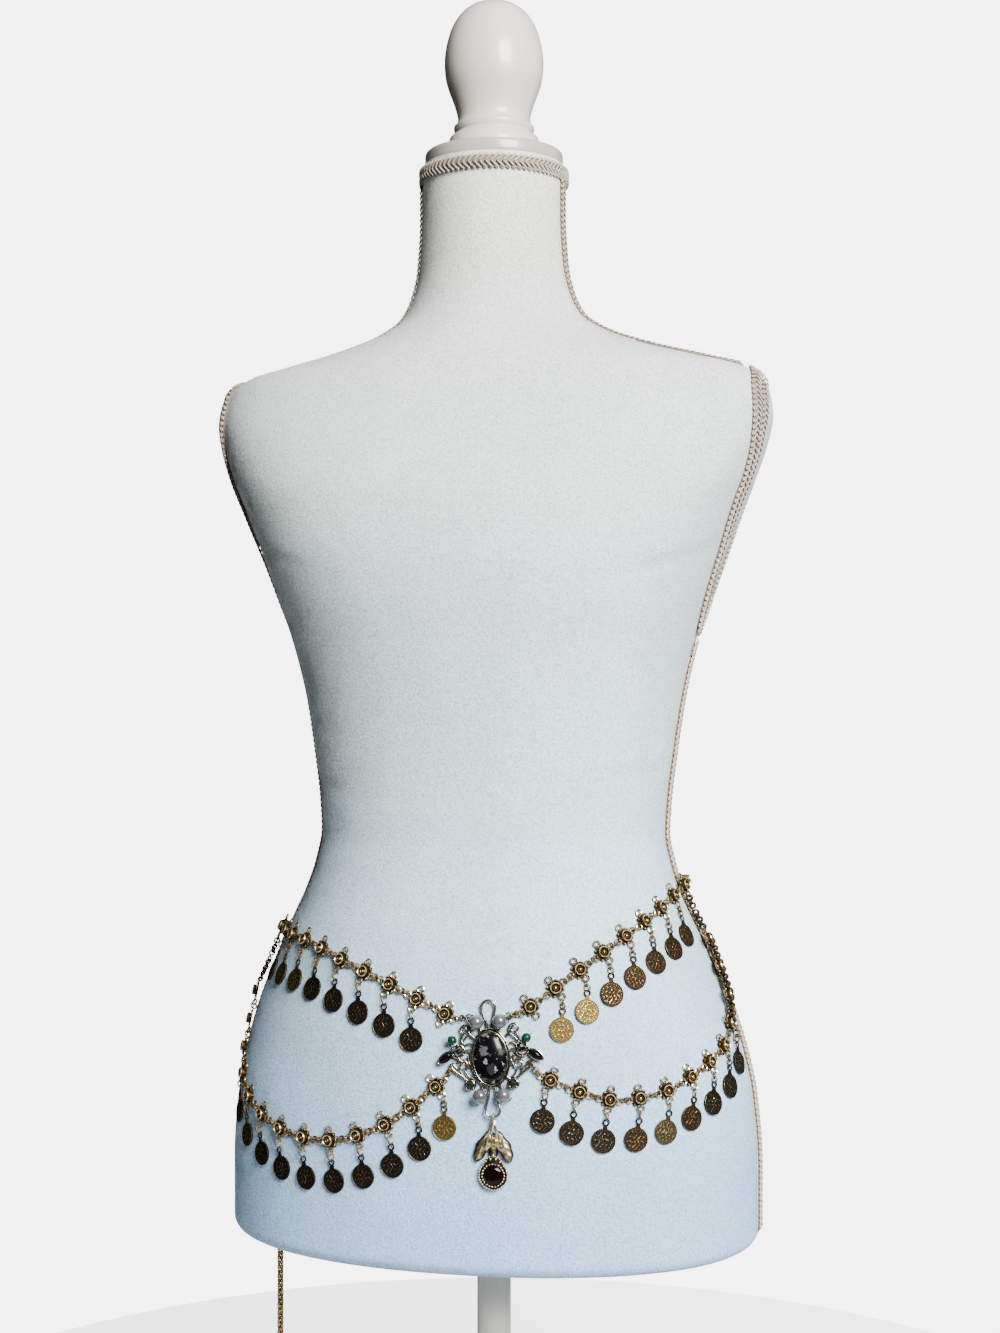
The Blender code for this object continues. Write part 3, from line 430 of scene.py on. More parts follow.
def stampTree(name, sockets, makeShape):
    net, inputs = newTree(name, sockets)
    turn, size = (net.node("GeometryNodeInputNamedAttribute", {"data_type": kind}, {"Name": label},
                           "Attribute")
                  for label, kind in pointLayers)
    stamps = net.node("GeometryNodeInstanceOnPoints", {}, {
        "Points": inputs["Geometry"], "Instance": makeShape(net, inputs), "Rotation": turn, "Scale": size})
    return closeTree(net, stamps, inputs["Finish"])


def objectShape(net, inputs):
    return net.node("GeometryNodeObjectInfo", {"transform_space": "ORIGINAL"}, {"Object": inputs["Stamp"]},
                    "Geometry")


def circle(net, steps, radius):
    return net.node("GeometryNodeCurvePrimitiveCircle", {}, {"Resolution": steps, "Radius": radius})


def ringShape(net, inputs):
    loop = circle(net, inputs["Ring Steps"], inputs["Ring Radius"])
    wire = circle(net, inputs["Wire Sides"], inputs["Wire Radius"])
    return net.node("GeometryNodeCurveToMesh", {}, {"Curve": loop, "Profile Curve": wire})


def beadShape(net, inputs):
    return net.node("GeometryNodeMeshIcoSphere", {},
                    {"Radius": inputs["Bead Radius"], "Subdivisions": inputs["Detail"]})


def chainTree():      # oval links along a path, each a quarter turn from the last
    sizes = ("Pitch", "Link Length", "Link Width", "Wire Radius")
    net, inputs = newTree("chainAlongPath", [(label, "Float") for label in sizes])
    path = net.node("GeometryNodeMeshToCurve", {}, {"Mesh": inputs["Geometry"]})
    even = net.node("GeometryNodeResampleCurve", {"mode": "LENGTH"},
                    {"Curve": path, "Length": inputs["Pitch"]})
    points = net.node("GeometryNodeCurveToPoints", {"mode": "EVALUATED"}, {"Curve": even}, "Points")
    facing = Wire(net, points.socket.node.outputs["Rotation"])
    size = net.node("ShaderNodeCombineXYZ", {}, {0: inputs["Link Length"], 1: inputs["Link Width"], 2: 1.0})
    link = net.node("GeometryNodeTransform", {}, {"Geometry": circle(net, 12, 0.5), "Scale": size})
    upright = net.node("GeometryNodeTransform", {}, {"Geometry": link, "Rotation": (0, radians(90), 0)})
    ring = net.node("GeometryNodeCurveToMesh", {}, {"Curve": upright,
                                                    "Profile Curve": circle(net, 5, inputs["Wire Radius"])})
    quarter = net.node("GeometryNodeInputIndex") % 2.0 * (pi / 2) + 0.6
    roll = net.node("FunctionNodeAxisAngleToRotation", {}, {"Axis": (0, 0, 1), "Angle": quarter})
    turned = net.node("FunctionNodeRotateRotation", {"rotation_space": "LOCAL"},
                      {"Rotation": facing, "Rotate By": roll})
    links = net.node("GeometryNodeInstanceOnPoints", {},
                     {"Points": points, "Instance": ring, "Rotation": turned})
    return closeTree(net, links, inputs["Finish"])


trees = {
    "object": stampTree("stampObject", [("Stamp", "Object")], objectShape),
    "ring": stampTree("jumpRings", [("Ring Radius", "Float"), ("Wire Radius", "Float"), ("Ring Steps", "Int"),
                                    ("Wire Sides", "Int")], ringShape),
    "bead": stampTree("beads", [("Bead Radius", "Float"), ("Detail", "Int")], beadShape),
    "chain": chainTree(),
}


def grow(name, seed, treeName, finishName, values, sharp=None):      # runs a tree and keeps the plain mesh
    tree = trees[treeName]
    values = {**values, "Finish": finishes[finishName]}
    modifier = seed.modifiers.new("grow", "NODES")
    modifier.node_group = tree
    for item in tree.interface.items_tree:
        if item.in_out == "INPUT" and item.name in values:
            modifier[item.identifier] = values[item.name]
    seed.update_tag()
    mesh = bpy.data.meshes.new_from_object(seed.evaluated_get(bpy.context.evaluated_depsgraph_get()))
    seed.modifiers.remove(modifier)
    bpy.data.objects.remove(seed)
    for spare, _ in pointLayers:
        if spare in mesh.attributes:
            mesh.attributes.remove(mesh.attributes[spare])
    mesh.name = name
    return tidyObject(name, mesh, sharp)


def seedOf(points, edges=()):
    mesh = bpy.data.meshes.new("seed")
    mesh.from_pydata([tuple(point) for point in points], edges, [])
    return newObject("seed", mesh)


def pointSeed(spots, sizes=None):
    seed = seedOf([spot.origin for spot in spots])
    layers = seed.data.attributes
    for label, kind in pointLayers:
        layers.new(label, kind, "POINT")
    turns, reach = layers["turn"], layers["size"]
    for i, spot in enumerate(spots):
        turns.data[i].value = spot.turn()
        reach.data[i].value = sizes[i] if sizes else 1.0
    return seed


def stamped(name, spots, stamp, finishName, sizes=None, sharp=None):
    piece = grow(name, pointSeed(spots, sizes), "object", finishName, {"Stamp": stamp}, sharp)
    bpy.data.objects.remove(stamp)
    return piece


def ringed(name, spots, ringRadius, wireRadius, finishName, sizes=None, steps=12, sides=5):
    return grow(name, pointSeed(spots, sizes), "ring", finishName, {
        "Ring Radius": ringRadius * mm, "Wire Radius": wireRadius * mm, "Ring Steps": steps,
        "Wire Sides": sides})


def beaded(name, spots, radius, finishName, sizes=None, detail=2):
    return grow(name, pointSeed(spots, sizes), "bead", finishName,
                {"Bead Radius": radius * mm, "Detail": detail})


def chained(name, path, chain, finishName):
    seed = seedOf(path, [(i, i + 1) for i in range(len(path) - 1)])
    return grow(name, seed, "chain", finishName, {
        "Pitch": chain["pitch"] * mm, "Link Length": chain["length"] * mm, "Link Width": chain["width"] * mm,
        "Wire Radius": chain["wire"] * mm})


# patina and painted shade: the darkness stored on each point
def tarnish(piece, depth):      # stores how deep each point lies, 0 on top and 1 in the recesses
    layer = piece.data.attributes.new("tarnish", "FLOAT", "POINT")
    for i, vertex in enumerate(piece.data.vertices):
        layer.data[i].value = min(max(depth(vertex.co / mm), 0.0), 1.0)
    return piece


def evenly(share):
    return lambda p: share


def outwards(spot, top, slope):      # patina and painted shade that fall by slope for each millimetre out from a spot, darkest nearest the surface beneath
    return lambda p: top - (p * mm - spot.origin).dot(spot.out) / mm * slope


# dress form: height above its underside, half width, front depth, back depth in centimetres, and squareness

form = {
    "lift": 0.18, "neckTop": 69.17, "sides": 200, "rows": 280,
    "sections": (
        (0.0, 16.55, 10.9, 11.1, 2.15), (0.25, 16.95, 11.3, 11.5, 2.15), (0.8, 17.2, 11.6, 11.8, 2.15),
        (5.0, 17.2, 11.65, 12.0, 2.15), (9.6, 16.85, 11.55, 12.0, 2.12), (12.2, 16.3, 11.4, 11.8, 2.1),
        (14.5, 15.6, 11.2, 11.4, 2.1), (16.8, 14.7, 10.9, 10.8, 2.08), (19.9, 13.35, 10.1, 9.7, 2.05),
        (21.8, 12.45, 9.5, 8.9, 2.05), (23.9, 11.7, 8.9, 8.1, 2.05), (26.0, 11.3, 8.55, 7.7, 2.05),
        (27.9, 11.4, 8.55, 7.7, 2.05), (31.2, 11.8, 8.9, 8.0, 2.08), (34.5, 12.3, 9.6, 8.5, 2.12),
        (37.7, 13.0, 10.4, 9.0, 2.2), (41.0, 14.0, 11.2, 9.5, 2.3), (43.6, 14.9, 11.45, 9.8, 2.4),
        (46.9, 16.2, 11.1, 9.9, 2.5), (48.8, 17.0, 10.4, 9.8, 2.6), (50.8, 17.7, 9.5, 9.5, 2.6),
        (52.7, 18.1, 8.5, 9.0, 2.5), (54.4, 17.8, 7.6, 8.3, 2.4), (55.5, 16.6, 7.0, 7.7, 2.3),
        (56.3, 13.7, 6.5, 7.3, 2.15), (57.1, 10.6, 6.0, 6.8, 2.05), (58.1, 7.7, 5.5, 6.3, 2.0),
        (59.2, 6.0, 5.1, 5.8, 2.0), (60.6, 5.25, 4.8, 5.3, 2.0), (62.5, 4.8, 4.7, 5.0, 2.0),
        (66.0, 4.6, 4.7, 4.8, 2.0), (69.17, 4.6, 4.7, 4.7, 2.0)),
    # soft creases: angle, height, half length in degrees, slope, half width in cm, depth in mm
    "creases": (
        (38, 52.6, 26, 0.010, 0.22, 0.8), (42, 51.0, 22, 0.004, 0.20, 0.7), (30, 49.5, 18, 0.012, 0.3, 0.5),
        (40, 58.6, 30, -0.020, 0.22, 0.8), (30, 59.6, 24, -0.016, 0.18, 0.6),
        (-30, 58.9, 20, 0.014, 0.25, 0.5), (150, 52.0, 30, 0.008, 0.25, 0.4),
        (-160, 50.5, 26, -0.010, 0.3, 0.4), (62, 43.0, 14, 0.06, 0.5, 0.7), (-62, 43.5, 14, -0.06, 0.5, 0.6),
        (70, 30.0, 16, 0.02, 0.5, 0.5), (-70, 29.0, 16, -0.02, 0.5, 0.5)),
}


def smoothSlopes(rows, column):      # slopes with no overshoot between a table's rows
    steps = [high[0] - low[0] for low, high in zip(rows, rows[1:])]
    rises = [(high[column] - low[column]) / step for low, high, step in zip(rows, rows[1:], steps)]
    slopes = [rises[0]]
    for i in range(1, len(rises)):
        before, after = 2 * steps[i] + steps[i - 1], steps[i] + 2 * steps[i - 1]
        level = rises[i - 1] * rises[i] <= 0
        slopes.append(0.0 if level else (before + after) / (before / rises[i - 1] + after / rises[i]))
    return slopes + [rises[-1]]


form["slopes"] = {column: smoothSlopes(form["sections"], column) for column in range(1, 5)}


def sectionAt(height):
    table = form["sections"]
    height = min(max(height, table[0][0]), table[-1][0])
    index = 0
    while index < len(table) - 2 and height > table[index + 1][0]:
        index += 1
    low, high = table[index], table[index + 1]
    step = high[0] - low[0]
    t = (height - low[0]) / step
    return [(1 + 2 * t) * (1 - t) ** 2 * low[c] + t * (1 - t) ** 2 * step * form["slopes"][c][index]
            + t * t * (3 - 2 * t) * high[c] + t * t * (t - 1) * step * form["slopes"][c][index + 1]
            for c in range(1, 5)]


def formPoint(angle, height):      # angle from the front towards +X in degrees, height in centimetres
    halfWidth, front, back, power = sectionAt(height)
    across, along = sin(radians(angle)), cos(radians(angle))
    depth = front if along > 0 else back
    reach = (abs(across / halfWidth) ** power + abs(along / depth) ** power) ** (-1 / power)
    return Vector((reach * across * cm, -reach * along * cm, form["lift"] + height * cm))


def formNormal(angle, height):
    around = formPoint(angle + 0.4, height) - formPoint(angle - 0.4, height)
    upward = formPoint(angle, height + 0.2) - formPoint(angle, height - 0.2)
    return around.cross(upward).normalized()


def sideAngle(side, depth, height):      # the surface at a depth in centimetres towards +Y, on one side
    halfWidth, front, back, power = sectionAt(height)
    width = halfWidth * (1 - abs(depth / (front if depth < 0 else back)) ** power) ** (1 / power)
    return degrees(atan2(side * width, -depth))


def creaseDepth(angle, height):
    sunk = 0.0
    for creaseAngle, creaseHeight, reach, slope, width, depth in form["creases"]:
        apart = (angle - creaseAngle + 180) % 360 - 180
        if abs(apart) < reach * 1.6:
            off = (height - creaseHeight - slope * apart) / width
            along = exp(-(apart / reach) ** 4)
            sunk += depth * along * (exp(-off * off) - 0.45 * exp(-(off - 1.9) ** 2))
    return sunk


def onForm(angle, height, lift=0.0):
    point = formPoint(angle, height)
    return point + formNormal(angle, height) * lift * mm if abs(lift) > 1e-3 else point


def makeTorso():
    heights = [0.0, 0.04, 0.1, 0.17, 0.25, 0.35, 0.5, 0.65]
    heights += [0.8 + (form["neckTop"] - 0.8) * k / form["rows"] for k in range(form["rows"] + 1)]
    angles = [360 * k / form["sides"] for k in range(form["sides"])]
    rings = [[onForm(angle, height, -creaseDepth(angle, height)) for angle in angles] for height in heights]
    return makeObject("velvetForm", loft(rings), "velvet", 50)


settle(makeTorso(), "velvet", "form_torso")
print("velvet form made")

# turned wood: radius and height in centimetres above the form's underside

turnedWood = {
    "finial": ((2.93, 70.12), (3.02, 70.2), (3.03, 70.45), (2.98, 70.75), (2.9, 71.05), (2.72, 71.22),
               (2.55, 71.32), (2.5, 71.42), (2.56, 71.52), (2.63, 71.66), (2.62, 71.82), (2.5, 71.94),
               (2.4, 72.05), (2.36, 72.35), (2.42, 72.7), (2.6, 73.3), (2.77, 73.75), (2.92, 74.15),
               (3.06, 74.55), (3.15, 74.95), (3.21, 75.35), (3.235, 75.75), (3.235, 76.15), (3.2, 76.6),
               (3.13, 77.05), (3.02, 77.5), (2.87, 78.0), (2.65, 78.5), (2.36, 78.95), (2.0, 79.35),
               (1.5, 79.7), (1.0, 79.92), (0.5, 80.05), (0.15, 80.09)),
    "plate": ((4.3, 69.2), (4.42, 69.23), (4.48, 69.32), (4.5, 69.42), (4.5, 69.85), (4.47, 69.97),
              (4.38, 70.06), (4.25, 70.1)),
    "pole": ((1.1, -16.17), (1.1, -12), (1.1, -8), (1.1, -4), (1.1, -0.03)),
    "base": ((12.9, -18.0), (12.98, -17.9), (13.0, -17.7), (13.0, -17.1), (12.92, -16.85), (12.75, -16.68),
             (12.4, -16.52), (11.8, -16.42), (11.0, -16.3), (9.0, -16.24), (6.0, -16.2), (2.4, -16.2),
             (1.9, -16.2)),
}


def turnedPiece(name, profile, finishName):
    rings = [[Vector((x * cm, y * cm, form["lift"] + height * cm)) for x, y in oval(0, 0, radius, sides=96)]
             for radius, height in profile]
    return makeObject(name, loft(rings), finishName, 40)


# the neck plate takes the darker paint, painted shade from the finial
for pieceName, node, coating in (
        ("finial", "form_finial", "paint"), ("plate", "form_neck_plate", "agedPaint"),
        ("pole", "stand_pole", "paint"), ("base", "stand_base", "paint")):
    settle(turnedPiece(pieceName, turnedWood[pieceName], coating), "paint", node)
print("turned wood made")

# gimp braid: pairs of looped cords that fan out from the middle line, over a backing tape

gimp = {
    "pitch": 3.6, "halfWidth": 4.4, "cord": 0.56, "lift": 0.7, "backing": 0.5, "seamDepth": -0.3,
    "neckSeamDepth": -0.6, "neckHeight": 68.45,
    "armhole": ((54.7, -2.3, 2.8), (53.2, -3.3, 3.9), (51.4, -3.6, 4.3), (48.8, -3.2, 4.2), (46.6, -2.9, 3.6),
                (43.7, -2.0, 2.6), (41.0, -1.4, 1.9)),      # height, front edge, back edge
    "armholeInner": ((54.9, -1.3), (53.3, -2.4), (51.4, -2.72), (48.8, -2.35), (46.6, -2.1), (44.6, -1.6)),
    "armholeTop": 55.35, "armholeTip": 39.0, "seamTop": 38.2, "seamBottom": 0.9,
}


def curveThrough(points, steps, closed=False):
    count = len(points)
    curve = []
    for span in range(count if closed else count - 1):
        if closed:
            p0, p1, p2, p3 = (points[(span + k) % count] for k in (-1, 0, 1, 2))
        else:
            p1, p2 = points[span], points[span + 1]
            p0 = points[span - 1] if span > 0 else tuple(2 * a - b for a, b in zip(p1, p2))
            p3 = points[span + 2] if span + 2 < count else tuple(2 * b - a for a, b in zip(p1, p2))
        for k in range(steps):
            t = k / steps
            curve.append(tuple(0.5 * (2 * b + (c - a) * t + (2 * a - 5 * b + 4 * c - d) * t * t
                                      + (3 * b - a - 3 * c + d) * t ** 3)
                               for a, b, c, d in zip(p0, p1, p2, p3)))
    return curve if closed else curve + [tuple(points[-1])]


def evenPlaces(fine, pitch, pointAt, closed=False):      # angle and height at equal steps along a fine line
    fine = list(fine) + ([fine[0]] if closed else [])
    points = [pointAt(*place) for place in fine]
    steps = [(b - a).length for a, b in zip(points, points[1:])]
    count = max(1, round(sum(steps) / pitch))
    pitch = sum(steps) / count
    places, travelled, wanted = [], 0.0, 0.0
    for (here, there), step in zip(zip(fine, fine[1:]), steps):
        while travelled + step >= wanted - 1e-9 and len(places) < count:
            t = (wanted - travelled) / step if step else 0.0
            turn = (there[0] - here[0] + 180) % 360 - 180
            places.append((here[0] + turn * t, here[1] + (there[1] - here[1]) * t))
            wanted += pitch
        travelled += step
    return places if closed else places + [fine[-1]]


def gimpStamp():      # one repeat: a cord on each side that sweeps forward and loops back at the edge
    shells = []
    for side in (-1, 1):
        reach = side * (gimp["halfWidth"] - gimp["cord"])
        path = curveThrough(((-2.4, -side * 0.3, 0.2), (-0.7, reach * 0.4, 0.9), (1.3, reach * 0.86, 0.8),
                             (1.9, reach, 0.4), (0.8, reach, 0.1), (-0.4, reach * 0.7, 0.0)), 2)
        points = [Vector((x, y, z + gimp["backing"] + 0.3)) * mm for x, y, z in path]
        shells.append(tube(points, gimp["cord"] * mm, sides=4))
    return makeObject("gimpStamp", together(shells), "gimp")


def tapeAlong(places, lift, half, sides, closed, flat):
    normals = [formNormal(*place) for place in places]
    return tube([onForm(*place, lift) for place in places], half * mm, normals, sides, closed, flat)


def gimpBand(name, fine, closed=False, widen=1.0):
    def pointAt(angle, height):
        return onForm(angle, height, gimp["lift"])
    places = evenPlaces(fine, gimp["pitch"] * mm, pointAt, closed)
    spots = []
    for i, place in enumerate(places):
        before, after = beside(places, i, closed)
        along = pointAt(*after) - pointAt(*before)
        spots.append(Spot(pointAt(*place), along, formNormal(*place).cross(along)))
    cords = stamped(name, spots if closed else spots[:-1], gimpStamp(), "gimp", [widen] * len(spots))
    band = evenPlaces(fine, 6 * mm, pointAt, closed)
    thick = (gimp["lift"] + gimp["backing"]) / 2 + 0.05
    half = (gimp["halfWidth"] - 0.5) * widen
    # dark backing tape under the cords, painted shade in the gaps between loops
    backing = tapeAlong(band, thick - 0.1, half, 8, closed, thick / half)
    return join(name, [cords, makeObject(name + "Backing", backing, "braidBacking")])


def onSide(side, corners):      # angles and heights from heights and depths
    return [(sideAngle(side, depth, height), height) for height, depth in corners]


def armholeLine(side):
    front = [(height, depth) for height, depth, _ in gimp["armhole"]]
    back = [(height, depth) for height, _, depth in reversed(gimp["armhole"])]
    corners = [(gimp["armholeTop"], 0.3)] + front + [(gimp["armholeTip"], gimp["seamDepth"])] + back
    return onSide(side, curveThrough(corners, 8, closed=True))


def seamLine(side, depth, low, high, steps=60):
    return onSide(side, [(high + (low - high) * k / steps, depth) for k in range(steps + 1)])


def seamTape(name, fines):      # narrow tape that shows beside the braid
    shells = []
    for fine in fines:
        shells.append(tapeAlong(evenPlaces(fine, 5 * mm, onForm), 0.35, 1.1, 6, False, 0.3))
    return makeObject(name, together(shells), "tape")


seam, neckSeam, seamTop = gimp["seamDepth"], gimp["neckSeamDepth"], gimp["seamTop"]
for side, word in ((-1, "left"), (1, "right")):
    settle(gimpBand(word + "ArmholeBraid", armholeLine(side), True), "braid", "form_armhole_braid_" + word)
    inner = onSide(side, curveThrough(gimp["armholeInner"], 8))
    settle(gimpBand(word + "ArmholeSecondRow", inner, widen=0.92), "braid")
    settle(gimpBand(word + "SideBraid", seamLine(side, seam, gimp["seamBottom"], seamTop)), "braid",
           "form_side_braid_" + word)
    settle(gimpBand(word + "NeckSideBraid", seamLine(side, neckSeam, 55.64, 68.0, 90), widen=0.9), "braid")
    settle(seamTape(word + "SeamTape", [seamLine(side, seam - 0.58, gimp["seamBottom"], seamTop - 1.0),
                                        seamLine(side, neckSeam - 0.45, 57.4, 67.9)]), "braid")
settle(gimpBand("neckBraid", [(4 * k, gimp["neckHeight"]) for k in range(90)], True, 1.12), "braid",
       "form_neck_braid")
print("gimp braid made")

# belt rows: routes as angle and height, one rosette at each pitch

belt = {
    "lift": 0.6, "braidLift": 3.3, "braidRamp": (13, 25), "loopReach": 8.0, "middle": 0.75, "coinDrop": 24.2,
    "coinInward": 0.972, "eyelet": 11.1, "loopPlace": 6.0,
}
rows = {
    "row_upper_left": {
        "route": ((-3.0, 15.7), (-20.0, 17.1), (-37.6, 18.25), (-54.8, 19.15), (-71.2, 19.4), (-90.0, 19.3)),
        "pitch": 19.9, "rosettes": 10, "coins": range(1, 9), "special": {"paleBronze": (6, 7, 8)}},
    "row_upper_right": {
        "route": ((23.0, 16.2), (37.6, 18.2), (52.5, 19.95), (67.1, 21.3), (82.0, 22.35), (94.0, 22.7)),
        "pitch": 18.6, "rosettes": 9, "coins": range(1, 8),
        "special": {"brightGold": (1, 2), "brownGold": (3, 4, 5, 6, 7)}},
    "row_lower_left": {
        "route": ((-5.2, 11.4), (-19.4, 9.1), (-36.1, 7.7), (-51.1, 7.8), (-63.8, 8.95),
                  (-72.5, 10.6), (-79.0, 12.8), (-85.0, 15.2), (-88.5, 18.0)),
        "pitch": 20.2, "rosettes": 13, "coins": range(10),
        "special": {"brightGold": (0,), "paleBronze": (8, 9)}},
    "row_lower_right": {
        "route": ((28.0, 11.95), (42.3, 10.75), (55.6, 10.95), (67.3, 12.1), (76.5, 13.2),
                  (82.5, 14.7), (85.2, 17.0), (86.8, 19.4), (87.6, 21.6)),
        "pitch": 18.7, "rosettes": 12, "coins": range(9),
        "special": {"brownGold": (3, 5), "paleBronze": (4,)}},
}


def sideOf(name):
    return -1 if "left" in name else 1


def beltPoint(angle, height, lift=0.0):      # on the form, or up on the side braid where the belt crosses it
    point = formPoint(angle, height)
    away = abs(point.y - gimp["seamDepth"] * cm) / mm
    low, high = belt["braidRamp"]
    t = min(max((away - low) / (high - low), 0.0), 1.0)
    step = 1 - t * t * (3 - 2 * t)
    return point + formNormal(angle, height) * (belt["lift"] + lift + belt["braidLift"] * step) * mm


def placesAlong(route, pitch, count):
    fine = curveThrough(route, 40)
    places, travelled, wanted = [fine[0]], 0.0, pitch
    before = beltPoint(*fine[0])
    for place, following in zip(fine, fine[1:]):
        after = beltPoint(*following)
        step = (after - before).length
        while travelled + step >= wanted and len(places) < count:
            t = (wanted - travelled) / step
            places.append(tuple(a + (b - a) * t for a, b in zip(place, following)))
            wanted += pitch
        travelled += step
        before = after
    return places


def linkSpots(name):
    row = rows[name]
    places = placesAlong(row["route"], row["pitch"] * mm, row["rosettes"])
    spots = []
    for i, place in enumerate(places):
        before, after = beside(places, i)
        along = beltPoint(*after) - beltPoint(*before)
        turn = radians(place[0])
        if along.normalized().dot(Vector((cos(turn), sin(turn), 0))) < -0.2:
            along = -along
        spots.append(Spot(beltPoint(*place), along, formNormal(*place).cross(along)))
    return spots


def placeOf(point):      # a point's angle and height on the form
    return degrees(atan2(point.x, -point.y)), (point.z - form["lift"]) / cm


def coinSpot(link):      # below the link's lower loop
    loop = link.at(0, -belt["loopReach"])
    place = placeOf(loop)[0] * belt["coinInward"], placeOf(link.origin)[1] - belt["coinDrop"] * mm / cm
    up = loop - beltPoint(*place)
    return Spot(beltPoint(*place), up.cross(formNormal(*place)), up)


rosette = {
    # distance from the middle, height, how much the petals raise it, how dark it is painted: patina and
    # painted shade in the hollows
    "profile": ((5.35, 0.3, 0.0, 0.8), (5.25, 0.8, 0.15, 0.5), (4.9, 1.3, 0.5, 0.2), (4.4, 1.35, 0.55, 0.4),
                (4.0, 1.1, 0.45, 0.9), (3.65, 0.9, 0.1, 1.0), (3.45, 1.5, 0.0, 1.0), (3.4, 2.6, 0.0, 0.8),
                (3.35, 3.5, 0.0, 0.1), (3.05, 3.9, 0.0, 0.0), (2.7, 3.6, 0.0, 0.2), (2.4, 2.4, 0.0, 1.0),
                (2.0, 2.1, 0.0, 1.0), (1.75, 2.7, 0.0, 0.5), (1.45, 3.0, 0.0, 0.1), (1.15, 2.7, 0.0, 0.7),
                (0.95, 2.6, 0.0, 1.0), (0.75, 3.2, 0.0, 0.3), (0.4, 3.6, 0.0, 0.0)),
    "petals": 8, "sides": 48, "loopRadius": 2.0, "loopWire": 0.55, "loopOut": 6.25,
}


def rosetteStamp():
    rings, patinaShades = [], []
    for radius, height, petal, dark in rosette["profile"]:
        ring = []
        for k in range(rosette["sides"]):
            angle = 2 * pi * k / rosette["sides"]
            wave = cos(rosette["petals"] * angle)
            reach = radius * (1 + 0.09 * wave * min(1.0, max(0.0, radius - 3.6)))
            ring.append(Vector((reach * cos(angle), reach * sin(angle), height + petal * wave)) * mm)
            # petal valleys painted darker still: painted shade
            patinaShades.append(dark + (0.35 if petal and wave < -0.5 else 0.0))
        rings.append(ring)
    shades = iter(patinaShades)
    body = tarnish(makeObject("rosetteBody", loft(rings), "gold"), lambda p: next(shades, 0.0))
    loops = []
    for x, y in ((0, 1), (0, -1), (1, 0), (-1, 0)):
        centre = localSpot.facing(x * rosette["loopOut"], y * rosette["loopOut"], belt["middle"] + 0.3)
        loop = oval(0, 0, rosette["loopRadius"], sides=16)
        loops.append(centre.tube(loop, rosette["loopWire"], sides=6, closed=True))
    # painted shade on the loops' back halves, towards the velvet
    wires = tarnish(makeObject("rosetteLoops", together(loops), "gold"), lambda p: 0.4 * (p.z < 0.8))
    return join("rosetteStamp", [body, wires])


coin = {
    "thickness": 1.25, "sides": 72, "beads": 24,
    "radii": (7.4, 7.38, 7.25, 6.95, 6.75, 6.4, 6.15, 5.9, 5.6, 5.35, 5.0, 4.5, 4.0, 3.5, 3.0, 2.5, 2.0, 1.5,
              1.0, 0.5),
}


def coinHeight(radius, angle, seed):      # rim, bead ring, and fine crossing strokes in the field
    if radius > 6.95:
        return 0.32
    if radius > 6.6:
        return 0.08
    if radius > 5.7:
        return 0.08 + 0.3 * max(0.0, cos(coin["beads"] * angle)) * (1 - abs(radius - 6.15) / 0.5)
    x, y = radius * cos(angle), radius * sin(angle)
    one = abs(sin(1.25 * x + 0.9 * sin(1.1 * y + seed) + 0.7 * seed))
    two = abs(sin(1.1 * y - 0.6 * x + 1.1 * sin(0.9 * x + 2 * seed)))
    strokes = max(0.0, 1 - one / 0.42) + max(0.0, 1 - two / 0.36)
    return 0.04 + 0.34 * min(1.0, strokes)


def coinStamp(seed):
    rings = [[(x, y, out) for x, y in oval(0, 0, radius, sides=coin["sides"])]
             for radius, out in ((7.2, 0.1), (7.4, 0.3))]
    face = coin["thickness"] - 0.35
    for index, radius in enumerate(coin["radii"]):
        edge = (0.25, 0.08, 0.0)[min(index, 2)]
        angles = [2 * pi * k / coin["sides"] for k in range(coin["sides"])]
        rings.append([(radius * cos(a), radius * sin(a), face + coinHeight(radius, a, seed) - edge)
                      for a in angles])
    disc = makeObject("coinDisc", loft([[Vector(p) * mm for p in ring] for ring in rings]), "bronze", 60)
    tarnish(disc, lambda p: 1.0 - (p.z - face) / 0.36 if p.z > 0.4 else 0.4)
    lug = localSpot.rings([([(-1.6, 6.6), (1.6, 6.6), (0.8, 9.8), (-0.8, 9.8)], 0.3),
                           ([(-1.5, 6.7), (1.5, 6.7), (0.7, 9.7), (-0.7, 9.7)], 1.3)])
    eyelet = localSpot.tube(oval(0, belt["eyelet"], 1.75, sides=18), 0.5, 0.8, 6, True)
    hanger = tarnish(makeObject("coinHanger", together([lug, eyelet]), "bronze", 60), evenly(0.45))
    return join("coinStamp", [disc, hanger])


class RingRun:      # jump rings from loop to loop, each a part turn from the last
    def __init__(self, chance):
        self.chance, self.spots, self.sizes = chance, [], []

    def add(self, start, end, normal, apart=2.7):
        along = end - start
        count = max(1, round(along.length / mm / apart) - 1)
        side = normal.cross(along).normalized()
        for k in range(count):
            roll = radians((70 if k % 2 else -25) + self.chance.uniform(-18, 18))
            centre = start + along * ((k + 1) / (count + 1))
            self.spots.append(Spot(centre, along, normal * cos(roll) + side * sin(roll)))
            self.sizes.append(max(along.length / (count + 1) / mm / 2.5, 0.8))


